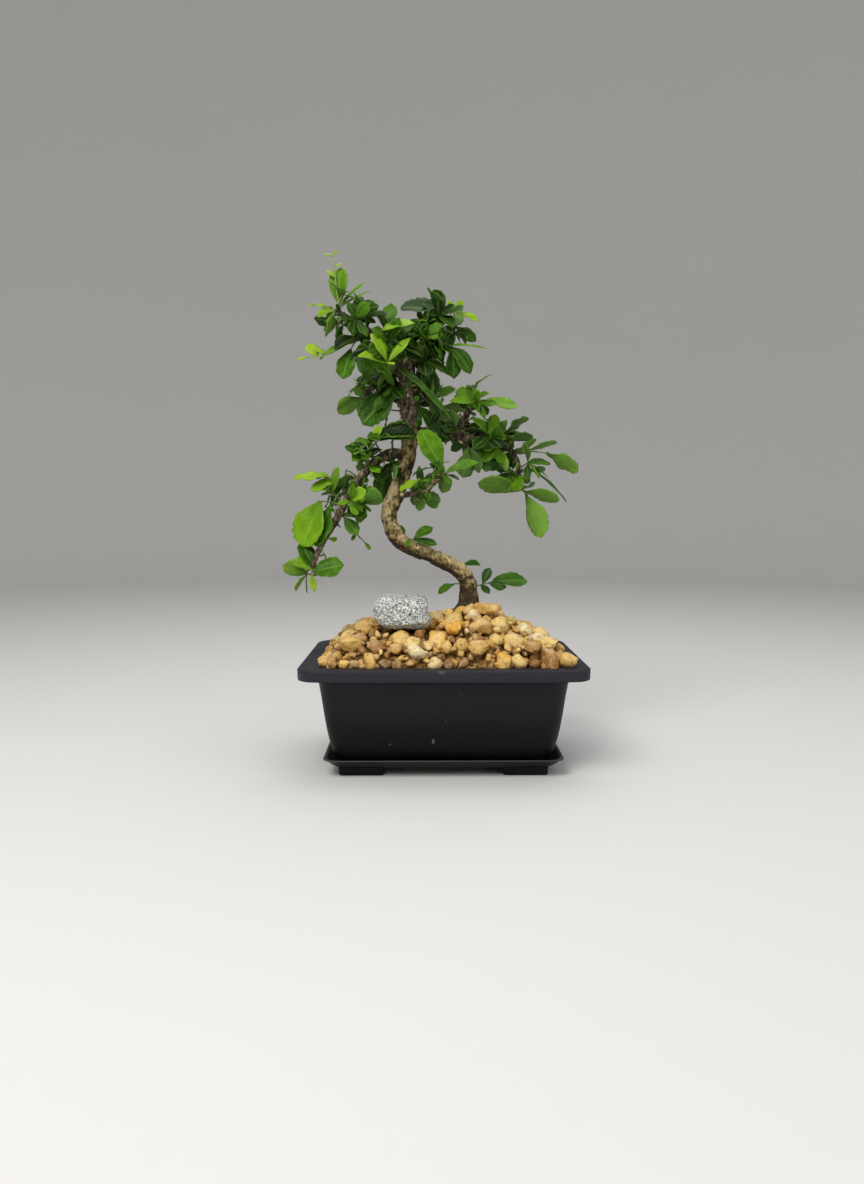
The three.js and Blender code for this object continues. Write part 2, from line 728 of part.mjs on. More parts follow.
function makeTree(grow) {
  const limbs = [tube(WOOD.trunk, 9, 34, grow)];
  for (const [name, points] of Object.entries(WOOD)) {
    if (name !== "trunk") limbs.push(tube(points, 6, (points.length - 1) * 2, grow));
  }
  for (const [heading, reach, drop] of ROOTS) {
    const turn = radians(heading);
    const at = (share, z, radius) => [
      TRUNK_X + Math.cos(turn) * reach * share,
      TRUNK_Y + Math.sin(turn) * reach * share,
      RIM_HEIGHT + z,
      radius,
    ];
    limbs.push(
      tube(
        [at(0, 18, ROOT_RADIUS), at(0.4, 12, ROOT_RADIUS * 0.8), at(0.75, (drop + 12) / 2,
          ROOT_RADIUS * 0.5), at(1, drop, ROOT_RADIUS * 0.3)],
        5, 4, grow,
      ),
    );
  }
  return Manifold.union(limbs);
}

const direction = (heading, climb) =>
  vec(
    Math.cos(radians(heading)) * Math.cos(radians(climb)),
    Math.sin(radians(heading)) * Math.cos(radians(climb)),
    Math.sin(radians(climb)),
  );

// A leaf: a thin lens, cupped and drooping a little. It is a sphere of four columns and three rows, drawn out
// from the base of the leaf at its lower pole to the tip at its upper one.
function leaf(base, heading, climb, length, kind, faceY, grow) {
  const along = direction(heading, climb);
  let side = vec(0, faceY, 0.8).cross(along);
  if (side.length() < 0.05) side = vec(1, 0, 0).cross(along);
  side.normalize();
  const up = along.clone().cross(side).normalize();
  const halfWidth = (LEAF_WIDTH[kind] * length) / 2 + grow;
  const thick = LEAF_THICKNESS / 2 + grow;
  const reach = grow / length;
  const geometry = new THREE.SphereGeometry(1, 4, 3);
  const position = geometry.getAttribute("position");
  for (let i = 0; i < position.count; i++) {
    const from = vec().fromBufferAttribute(position, i);
    const row = Math.round((from.y + 1) * 2);
    const share = { 0: -reach, 1: 0.42, 3: 0.76, 4: 1 + reach }[row];
    const width = { 0: 0, 1: 0.72, 3: 1, 4: 0 }[row];
    const across = -Math.round(from.x) * width;
    const over = width > 0 ? Math.round(from.z) * thick : 0;
    const cup = 0.05 * length * Math.abs(across) - 0.1 * length * share * share;
    const to = base.clone()
      .addScaledVector(along, share * length)
      .addScaledVector(side, across * halfWidth)
      .addScaledVector(up, over + cup);
    position.setXYZ(i, to.x, to.y, to.z);
  }
  return solidOf(geometry);
}

const curveOf = (points) =>
  new THREE.CatmullRomCurve3(points.map(([x, y, z]) => vec(x, y, z)), false, "catmullrom", 0.5);

function makeSprig([branch, along, heading, climb, bend, length, leaves], grow) {
  const start = curveOf(WOOD[branch]).getPointAt(along);
  const steps = bend === 0 ? 2 : 5;
  const twig = [start];
  for (let k = 0; k < steps; k++) {
    const step = direction(heading, climb + (bend * (k + 0.5)) / steps);
    twig.push(twig[k].clone().addScaledVector(step, (length * TREE_SCALE) / steps));
  }
  const radius = (k) => TWIG_RADIUS * (1 - (0.4 * k) / steps);
  const path = twig.map((p, k) => [p.x, p.y, p.z, radius(k)]);
  const pieces = [tube(path, 4, steps, grow)];
  for (const [share, leafHeading, leafClimb, leafLength, kind] of leaves) {
    const k = Math.min(Math.floor(share * steps), steps - 1);
    const base = twig[k].clone().lerp(twig[k + 1], share * steps - k);
    base.addScaledVector(direction(leafHeading, leafClimb), -0.8);
    const faceY = start.y > 17 ? 0.5 : -0.6;
    pieces.push(
      leaf(base, leafHeading, leafClimb, leafLength * TREE_SCALE + 0.8, kind, faceY, grow),
    );
  }
  return Manifold.union(pieces);
}

addNode("drip_tray", makeTray(), materials.tray);
addNode("pot", makePot(), materials.pot);

const tree = makeTree(0);
const treeSpace = makeTree(CLEARANCE);
addNode("soil", largest(makeSoil().subtract(treeSpace)), materials.soil);

const stoneZ = heap(...STONE_AT) + STONE[2] / 2 - STONE_SINK;
const stoneAt = (grow) =>
  rock(STONE, 0.42, 0.02, 4, 1.7, grow).rotate([0, 2, 4]).translate([...STONE_AT, stoneZ]);
const stone = stoneAt(0);
let filled = makeGravel().subtract(treeSpace).subtract(stoneAt(CLEARANCE));
let taken = Manifold.union([treeSpace, stoneAt(CLEARANCE), makeGravel()]);
const loose = [];
let seed = 0.4;
for (const [name, [x, y, length, width, height, heading]] of Object.entries(PEBBLES)) {
  seed += 1.3;
  const shaped = (grow) =>
    rock([length, width, height], 0.12, 0.07, 1, seed, grow)
      .rotate([8 * Math.sin(seed), 10 * Math.cos(seed), heading])
      .translate([x, y, heap(x, y) + height * 0.22]);
  filled = filled.subtract(shaped(CLEARANCE));
  taken = taken.add(shaped(CLEARANCE));
  loose.push([name, shaped(0)]);
}
addNode("gravel_bed", largest(filled), materials.gravel);
addNode("granite_stone", stone, materials.granite);
for (const [name, solid] of loose) {
  addNode(name, largest(solid.subtract(treeSpace)), standard(PEBBLE_COLOURS[name], 0.7));
}
addNode("trunk_and_branches", largest(tree), materials.bark);

for (const [name, plan] of Object.entries(SPRIGS)) {
  const sprig = largest(makeSprig(plan, 0).subtract(taken));
  addNode(name, sprig, YOUNG.includes(name) ? materials.youngLeaf : materials.leaf);
  taken = taken.add(makeSprig(plan, CLEARANCE));
}

export default part;
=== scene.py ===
"""A bonsai in a black training pot: tray, pot, gravel, granite stone, trunk, branches and leafy sprigs."""

from __future__ import annotations

import logging
import math
import random
from dataclasses import dataclass, field
from enum import Enum

import bpy
import numpy as np
from mathutils import Euler, Matrix, Vector

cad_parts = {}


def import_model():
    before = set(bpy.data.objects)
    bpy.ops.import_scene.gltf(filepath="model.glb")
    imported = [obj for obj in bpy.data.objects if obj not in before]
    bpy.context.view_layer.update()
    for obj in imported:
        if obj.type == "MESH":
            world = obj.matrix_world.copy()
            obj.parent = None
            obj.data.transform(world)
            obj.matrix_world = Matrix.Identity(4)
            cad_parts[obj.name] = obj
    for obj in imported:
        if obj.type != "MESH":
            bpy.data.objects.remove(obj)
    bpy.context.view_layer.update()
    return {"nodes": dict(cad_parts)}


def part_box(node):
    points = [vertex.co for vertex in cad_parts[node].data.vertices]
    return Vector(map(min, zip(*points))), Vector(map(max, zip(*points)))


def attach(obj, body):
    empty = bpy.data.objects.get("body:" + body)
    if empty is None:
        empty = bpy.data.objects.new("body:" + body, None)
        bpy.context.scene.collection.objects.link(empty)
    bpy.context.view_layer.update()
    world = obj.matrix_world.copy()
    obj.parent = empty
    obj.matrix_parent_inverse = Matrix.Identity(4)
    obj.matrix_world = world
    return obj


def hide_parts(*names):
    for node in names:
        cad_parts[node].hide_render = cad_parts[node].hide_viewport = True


LOG = logging.getLogger("bonsai")
MM = 0.001
BODY = "root"
TURN = 6.3  # about one whole turn, in radians
Point = tuple[float, float, float]


# ---------------------------------------------------------------- shader bench


class Wire:
    """A number socket that takes part in Python arithmetic."""

    def __init__(self, bench: Bench, socket: bpy.types.NodeSocket) -> None:
        """Wraps a socket of a bench's node tree."""
        self.bench = bench
        self.socket = socket

    def _math(self, operation: str, first: object, second: object = 0.0) -> Wire:
        """A Math node on two values, each a wire or a number."""
        node = self.bench.node("ShaderNodeMath", {"operation": operation}, {0: first, 1: second})
        return Wire(self.bench, node.outputs[0])

    def __add__(self, other: object) -> Wire:
        """Sum."""
        return self._math("ADD", self, other)

    __radd__ = __add__

    def __sub__(self, other: object) -> Wire:
        """Difference."""
        return self._math("SUBTRACT", self, other)

    def __rsub__(self, other: object) -> Wire:
        """Difference, reflected."""
        return self._math("SUBTRACT", other, self)

    def __mul__(self, other: object) -> Wire:
        """Product."""
        return self._math("MULTIPLY", self, other)

    __rmul__ = __mul__

    def __abs__(self) -> Wire:
        """Size without its sign."""
        return self._math("ABSOLUTE", self)

    def sine(self) -> Wire:
        """Sine, in radians."""
        return self._math("SINE", self)

    def step(self, low: float, high: float) -> Wire:
        """A smooth rise from 0 at low to 1 at high, or a fall where low is the larger.

        Args:
            low: the value that gives 0.
            high: the value that gives 1.

        Returns:
            The mask.
        """
        node = self.bench.node(
            "ShaderNodeMapRange",
            {"interpolation_type": "SMOOTHSTEP"},
            {"Value": self, "From Min": low, "From Max": high},
        )
        return Wire(self.bench, node.outputs[0])


class Bench:
    """A material being wired."""

    def __init__(self, name: str) -> None:
        """Starts a material with only its shader.

        Args:
            name: the material's name.
        """
        self.material = bpy.data.materials.new(name)
        self.material.use_nodes = True
        self.tree = self.material.node_tree
        self.shader = self.tree.nodes["Principled BSDF"]
        where = self.node("ShaderNodeTexCoord")
        self.place = where.outputs["Object"]
        self.uv = where.outputs["UV"]

    def node(self, kind: str, settings: dict | None = None, values: dict | None = None) -> bpy.types.Node:
        """Adds a node.

        Args:
            kind: the node's type.
            settings: its properties, set first. A ramp's stops are a list of (place, colour).
            values: its sockets by name or number, each a number, a colour, a socket or a wire.

        Returns:
            The node.
        """
        made = self.tree.nodes.new(kind)
        for key, value in (settings or {}).items():
            if key == "stops":
                ramp = made.color_ramp
                while len(ramp.elements) < len(value):
                    ramp.elements.new(0.5)
                for element, (at, colour) in zip(ramp.elements, value):
                    element.position = at
                    element.color = (*colour, 1)
            else:
                setattr(made, key, value)
        for key, value in (values or {}).items():
            self.feed(made.inputs[key], value)
        return made

    def feed(self, socket: bpy.types.NodeSocket, value: object) -> None:
        """Links or sets one socket.

        Args:
            socket: the socket.
            value: a wire, another socket, a colour or a number.
        """
        if isinstance(value, Wire):
            self.tree.links.new(value.socket, socket)
        elif isinstance(value, bpy.types.NodeSocket):
            self.tree.links.new(value, socket)
        elif isinstance(value, tuple) and len(value) == 3 and len(socket.default_value) == 4:
            socket.default_value = (*value, 1)
        else:
            socket.default_value = value

    def stretched(self, size: Point) -> bpy.types.NodeSocket:
        """Object coordinates stretched by size."""
        return self.node("ShaderNodeMapping", {}, {"Vector": self.place, "Scale": size}).outputs[0]

    def noise(self, scale: float, detail: float = 3, rough: float = 0.5, where: object = None) -> Wire:
        """Cloudy noise from 0 to 1.

        Args:
            scale: how fine it is.
            detail: how many finer layers it has.
            rough: how strong the finer layers are.
            where: coordinates other than the object's own.

        Returns:
            The noise.
        """
        made = self.node(
            "ShaderNodeTexNoise",
            {},
            {"Vector": where or self.place, "Scale": scale, "Detail": detail, "Roughness": rough},
        )
        return Wire(self, made.outputs[0])

    def cells(self, scale: float) -> Wire:
        """Distance to the nearest of scattered cells."""
        made = self.node("ShaderNodeTexVoronoi", {"feature": "F1"}, {"Vector": self.place, "Scale": scale})
        return Wire(self, made.outputs[0])

    def axis(self, name: str) -> Wire:
        """One of the object coordinates, X, Y or Z, in metres."""
        return Wire(self, self.node("ShaderNodeSeparateXYZ", {}, {0: self.place}).outputs[name])

    def across(self) -> tuple[Wire, Wire]:
        """The piece's own UV map: across and along."""
        split = self.node("ShaderNodeSeparateXYZ", {}, {0: self.uv})
        return Wire(self, split.outputs["X"]), Wire(self, split.outputs["Y"])

    def facing(self, name: str = "Z") -> Wire:
        """How far the surface faces along an axis, upwards where none is named, from -1 to 1."""
        normal = self.node("ShaderNodeNewGeometry").outputs["Normal"]
        return Wire(self, self.node("ShaderNodeSeparateXYZ", {}, {0: normal}).outputs[name])

    def attribute(self, name: str) -> Wire:
        """A number kept on the piece's points."""
        made = self.node("ShaderNodeAttribute", {"attribute_name": name})
        return Wire(self, made.outputs["Fac"])

    def mix(self, mask: object, first: object, second: object) -> bpy.types.NodeSocket:
        """Two colours mixed by a mask.

        Args:
            mask: 0 for the first, 1 for the second.
            first: a colour.
            second: a colour.

        Returns:
            The mixed colour.
        """
        made = self.node(
            "ShaderNodeMix",
            {"data_type": "RGBA", "blend_type": "MIX"},
            {0: mask, 6: first, 7: second},
        )
        return made.outputs[2]

    def ramp(self, mask: object, stops: list[tuple[float, Point]]) -> bpy.types.NodeSocket:
        """A colour picked from stops."""
        return self.node("ShaderNodeValToRGB", {"stops": stops}, {0: mask}).outputs[0]

    def bump(self, height: object, strength: float, depth: float) -> None:
        """Feeds the shader's normal from a height.

        Args:
            height: the height, a wire.
            strength: how strongly it shows.
            depth: its depth in metres.
        """
        made = self.node(
            "ShaderNodeBump", {}, {"Height": height, "Strength": strength, "Distance": depth}
        )
        self.feed(self.shader.inputs["Normal"], made.outputs[0])

    def finish(self, colour: object, roughness: object, **constants: float) -> bpy.types.Material:
        """Feeds the shader's colour and roughness, and sets what is the same all over.

        Args:
            colour: the base colour, a socket or a colour.
            roughness: a wire or a number.
            **constants: other sockets by name, with _ for a space.

        Returns:
            The material.
        """
        self.feed(self.shader.inputs["Base Color"], colour)
        self.feed(self.shader.inputs["Roughness"], roughness)
        for name, value in constants.items():
            self.shader.inputs[name.replace("_", " ")].default_value = value
        return self.material


# ------------------------------------------------------------------- finishes


@dataclass(frozen=True)
class PotPlastic:
    """Near-black moulded plastic, dusty where it faces up, with a few scuffs, a painted highlight on the
    pip, painted light on the flange, painted shade darkening the body towards its foot, and a painted
    highlight line along the tray's lip.
    """

    name: str = "pot_plastic"
    colour: Point = (0.0022, 0.0022, 0.0029)
    dust: Point = (0.066, 0.061, 0.074)
    dustiness: float = 0.75
    roughness: float = 0.46
    # Weight of the scuffs and the worn nick, and also of the painted light on the flange and the painted
    # highlight on the pip.
    rubs_and_painted_light: float = 1.0
    # Height from which a painted highlight line runs along the lip.
    lip_highlight_from: float = 1.0

    def make(self) -> bpy.types.Material:
        """The material.

        Returns:
            The material.
        """
        b = Bench(self.name)
        cloud = b.noise(38, 5, 0.6)
        fine = b.noise(900, 2)
        up = b.facing().step(0.45, 0.95)
        settled = up * cloud.step(0.25, 0.75) * self.dustiness + up * 0.25 * self.dustiness
        colour = b.mix(cloud * 0.35, self.colour, tuple(1.5 * c for c in self.colour))
        colour = b.mix(settled, colour, self.dust)
        height = b.axis("Z")
        # Painted shade: the body wall is darker towards its foot and lighter towards the flange.
        colour = b.mix(height.step(0.024, 0.07), colour, tuple(6.6 * c for c in self.colour))
        # Painted light: the flange and its skirt are lighter than the body below.
        skirt = height.step(0.0712, 0.0724) * self.rubs_and_painted_light
        colour = b.mix(skirt, colour, tuple(11.0 * c for c in self.colour))
        lines = b.noise(1100, 2, 0.5, b.stretched((0.03, 0.03, 1))).step(0.5, 0.72)
        colour = b.mix(lines * height.step(0.07, 0.074) * 0.35, colour, tuple(15 * c for c in self.colour))
        speck = b.cells(90).step(0.085, 0.04) * b.noise(60, 1).step(0.5, 0.58)
        worn = abs(b.axis("X") + 0.002).step(0.0032, 0.001) * height.step(0.077, 0.0785)
        worn = worn * b.axis("Y").step(-0.0742, -0.0755)
        # Painted highlight on the moulded pip, mixed with the real scuffs and the worn nick.
        pip = abs(b.axis("X") + 0.0074).step(0.0013, 0.0004) * abs(height - 0.0262).step(0.0024, 0.0008)
        pip = pip * b.axis("Y").step(0.0, -0.05)
        rubs_and_pip_highlight = (speck * 0.55 + worn * 0.25 + pip * 0.4) * self.rubs_and_painted_light
        colour = b.mix(rubs_and_pip_highlight, colour, (0.24, 0.245, 0.26))
        # Painted highlight: a pale line along the top edge of the lip.
        lip = height.step(self.lip_highlight_from, self.lip_highlight_from + 0.0005) * 0.6
        colour = b.mix(lip, colour, (0.09, 0.09, 0.095))
        b.bump(fine * 0.7 + cloud * 0.3, 0.25, 0.0002)
        rough = cloud * 0.16 + settled * 0.25 + (self.roughness - 0.06)
        return b.finish(colour, rough, Specular_IOR_Level=0.17)


@dataclass(frozen=True)
class BarkFinish:
    """Rough bark, tan-grey and knotted low down and darker higher up, with painted light where it faces up
    and on the left of the bend, and painted shade underneath, on the right of the bend and in the healed
    hole.
    """

    name: str = "bark"
    turn_dark: float = 0.232
    dark_from: float = 0.254

    def make(self) -> bpy.types.Material:
        """The material.

        Returns:
            The material.
        """
        b = Bench(self.name)
        ridges = b.noise(430, 5, 0.68, b.stretched((1, 1, 0.45)))
        patch = b.noise(135, 4, 0.62)
        pits = b.cells(230)
        up = b.facing()
        # The ramp is pushed a little paler where the bark faces up: painted light.
        colour = b.ramp(
            ridges * 0.6 + patch * 0.4 + up * 0.05,
            [
                (0.38, (0.024, 0.013, 0.004)),
                (0.46, (0.135, 0.086, 0.03)),
                (0.535, (0.33, 0.24, 0.095)),
                (0.62, (0.58, 0.465, 0.22)),
            ],
        )
        height = b.axis("Z") + (patch - 0.5) * 0.03
        bend = height.step(0.165, 0.185) * height.step(0.245, 0.228)
        # Painted light: paler where the bark faces up and on the left of the bend; the right of the bend
        # gets painted shade below.
        right = (b.facing("X") + (patch - 0.5) * 1.2).step(-0.35, 0.45)
        lit = (up + (patch - 0.5) * 1.6).step(0.0, 0.75)
        pale = (lit + bend * (1 - right) * 0.9) * ridges.step(0.38, 0.47)
        colour = b.mix(pale * 0.55, colour, (0.66, 0.55, 0.3))
        # Dark pits all over are real; the extra pits and dark crevices on the right of the bend only are
        # painted shade on the side away from the light.
        scars_and_shade = pits.step(0.26, 0.12) * (patch - 0.04 + bend * right * 0.14).step(0.46, 0.52)
        crevice_shade = b.noise(210, 4, 0.7, b.stretched((1, 1, 0.4))).step(0.47, 0.4) * bend * right
        scars_and_shade = scars_and_shade + crevice_shade * 0.85 + b.attribute("scar")
        colour = b.mix(scars_and_shade, colour, (0.012, 0.007, 0.004))
        # Painted shade: darker where the bark faces down.
        below = (up - (patch - 0.5) * 1.0).step(0.0, -0.55) * 0.9
        colour = b.mix(below, colour, (0.028, 0.016, 0.009))
        high = height.step(self.turn_dark, self.dark_from)
        dark = b.ramp(
            ridges,
            [(0.38, (0.009, 0.006, 0.004)), (0.51, (0.062, 0.045, 0.028)), (0.66, (0.26, 0.215, 0.15))],
        )
        colour = b.mix(high * 0.9, colour, dark)
        colour = b.mix(b.attribute("branch") * 0.85, colour, dark)
        foot = height.step(0.142, 0.122)
        colour = b.mix(foot * 0.9, colour, (0.024, 0.014, 0.008))
        b.bump(ridges * 0.6 + patch * 0.4 - scars_and_shade * 0.5, 1.0, 0.002)
        return b.finish(colour, 0.82, Specular_IOR_Level=0.3)


class LeafSide(Enum):
    """Which face of a leaf a finish is for."""

    TOP = "leaf_top"
    UNDER = "leaf_under"


@dataclass(frozen=True)
class LeafFinish:
    """A glossy leaf whose green runs from deep to yellow with the point number tone."""

    side: LeafSide

    def make(self) -> bpy.types.Material:
        """The material.

        Returns:
            The material.
        """
        b = Bench(self.side.value)
        across, along = b.across()
        tone = b.attribute("tone")
        mottle = b.noise(160, 4, 0.55)
        shade = tone + (mottle - 0.5) * 0.45 + (along - 0.5) * 0.12
        colour = b.ramp(
            shade,
            [
                (0.0, (0.0022, 0.0125, 0.0014)),
                (0.22, (0.011, 0.043, 0.002)),
                (0.45, (0.045, 0.135, 0.0035)),
                (0.7, (0.145, 0.31, 0.007)),
                (1.0, (0.29, 0.45, 0.02)),
            ],
        )
        off = abs(across - 0.5) * 2
        rib = off.step(0.13, 0.03) * along.step(1.0, 0.8)
        fan = ((along - off * 0.3) * 56).sine().step(0.6, 1.0) * off.step(1.0, 0.3) * 0.26
        veins = rib * 0.75 + fan
        colour = b.mix(veins * 0.7, colour, b.mix(0.5, colour, (0.26, 0.46, 0.06)))
        edge = off.step(0.82, 1.0) * 0.6
        colour = b.mix(edge, colour, b.mix(0.5, colour, (0.25, 0.42, 0.05)))
        base = along.step(0.3, 0.0) * 0.35
        colour = b.mix(base, colour, (0.05, 0.1, 0.01))
        dots = b.cells(950).step(0.2, 0.1) * mottle.step(0.45, 0.6)
        if self.side is LeafSide.TOP:
            colour = b.mix(dots * 0.34, colour, (0.55, 0.68, 0.4))
            rough = mottle * 0.18 + 0.24
        else:
            colour = b.mix(0.4, colour, (0.16, 0.3, 0.07))
            rough = mottle * 0.1 + 0.5
        b.bump(mottle * 0.4 - veins * 0.6, 0.7, 0.0008)
        return b.finish(colour, rough, Specular_IOR_Level=0.12)


@dataclass(frozen=True)
class TwigFinish:
    """A young green stem, brown near the wood."""

    name: str = "twig"

    def make(self) -> bpy.types.Material:
        """The material.

        Returns:
            The material.
        """
        b = Bench(self.name)
        tone = b.attribute("tone")
        grain = b.noise(500, 3)
        colour = b.ramp(
            tone + (grain - 0.5) * 0.5,
            [(0.1, (0.06, 0.04, 0.025)), (0.5, (0.12, 0.15, 0.035)), (0.9, (0.26, 0.4, 0.07))],
        )
        b.bump(grain, 0.5, 0.0004)
        return b.finish(colour, 0.6)


@dataclass(frozen=True)
class DryFinish:
    """Papery, straw-coloured bud scales."""

    name: str = "dry_scale"

    def make(self) -> bpy.types.Material:
        """The material.

        Returns:
            The material.
        """
        b = Bench(self.name)
        grain = b.noise(700, 3)
        colour = b.ramp(
            grain,
            [(0.35, (0.2, 0.12, 0.05)), (0.5, (0.5, 0.37, 0.2)), (0.65, (0.78, 0.66, 0.44))],
        )
        b.bump(grain, 0.5, 0.0004)
        return b.finish(colour, 0.8, Specular_IOR_Level=0.2)


@dataclass(frozen=True)
class PebbleFinish:
    """River pebbles, tan to orange, picked for each pebble by the point number tone."""

    name: str = "pebble"

    def make(self) -> bpy.types.Material:
        """The material.

        Returns:
            The material.
        """
        b = Bench(self.name)
        tone = b.attribute("tone")
        mottle = b.noise(260, 5, 0.62)
        veil = b.noise(90, 3, 0.55)
        fine = b.noise(1500, 3, 0.6)
        base = b.ramp(
            tone,
            [
                (0.0, (0.19, 0.085, 0.024)),
                (0.16, (0.38, 0.18, 0.045)),
                (0.36, (0.6, 0.33, 0.07)),
                (0.55, (0.71, 0.45, 0.115)),
                (0.72, (0.79, 0.56, 0.2)),
                (0.87, (0.78, 0.42, 0.045)),
                (1.0, (0.84, 0.7, 0.42)),
            ],
        )
        colour = b.mix(veil.step(0.46, 0.62) * 0.6, base, b.mix(0.6, base, (0.85, 0.66, 0.34)))
        colour = b.mix(mottle.step(0.5, 0.38) * 0.75, colour, b.mix(0.65, colour, (0.2, 0.085, 0.016)))
        grains = b.noise(640, 3, 0.6).step(0.55, 0.66) * 0.6
        colour = b.mix(grains, colour, b.mix(0.6, colour, (0.92, 0.78, 0.5)))
        grime = b.cells(320).step(0.26, 0.1) * mottle.step(0.55, 0.45)
        colour = b.mix(grime * 0.5, colour, (0.12, 0.05, 0.014))
        b.bump(fine * 0.35 + mottle * 0.65, 0.55, 0.0007)
        return b.finish(colour, mottle * 0.25 + 0.5, Specular_IOR_Level=0.35)


@dataclass(frozen=True)
class GraniteFinish:
    """Pale granite with dark and grey grains, and painted shade where it faces down."""

    name: str = "granite"

    def make(self) -> bpy.types.Material:
        """The material.

        Returns:
            The material.
        """
        b = Bench(self.name)
        wobble = b.noise(420, 3)
        grains = b.noise(760, 3, 0.75)
        coarse = b.noise(260, 4, 0.65)
        flake = b.cells(820)
        colour = b.ramp(
            grains,
            [(0.41, (0.07, 0.09, 0.09)), (0.47, (0.36, 0.39, 0.37)), (0.56, (0.84, 0.86, 0.8))],
        )
        colour = b.mix(coarse.step(0.5, 0.38) * 0.4, colour, (0.16, 0.19, 0.19))
        dark = flake.step(0.42, 0.22) * wobble.step(0.44, 0.54)
        colour = b.mix(dark * 0.7, colour, (0.05, 0.07, 0.073))
        # Painted shade: darker and warmer where the stone faces down.
        below = b.facing().step(0.0, -0.8) * 0.3
        colour = b.mix(below, colour, (0.3, 0.28, 0.25))
        b.bump(grains * 0.6 + coarse * 0.4, 0.6, 0.0006)
        return b.finish(colour, wobble * 0.2 + 0.55)


@dataclass(frozen=True)
class EarthFinish:
    """Dark crumbly potting mix, and the grit that sifts down between pebbles."""

    name: str = "earth"
    dark: Point = (0.012, 0.007, 0.004)
    middle: Point = (0.06, 0.033, 0.017)
    light: Point = (0.2, 0.11, 0.05)

    def make(self) -> bpy.types.Material:
        """The material.

        Returns:
            The material.
        """
        b = Bench(self.name)
        crumbs = b.cells(420)
        cloud = b.noise(150, 4, 0.6)
        colour = b.ramp(
            crumbs * 0.6 + cloud * 0.5,
            [(0.25, self.dark), (0.5, self.middle), (0.8, self.light)],
        )
        b.bump(crumbs * 0.6 + cloud * 0.4, 0.9, 0.0015)
        return b.finish(colour, 0.92, Specular_IOR_Level=0.2)


@dataclass(frozen=True)
class StageFinish:
    """The pale floor and backdrop."""

    name: str = "pale_stage"
    colour: Point = (0.74, 0.73, 0.71)

    def make(self) -> bpy.types.Material:
        """The material.

        Returns:
            The material.
        """
        b = Bench(self.name)
        cloud = b.noise(3, 2)
        colour = b.mix(cloud * 0.15, self.colour, tuple(0.95 * c for c in self.colour))
        return b.finish(colour, 0.8)


# ------------------------------------------------------------------- tools


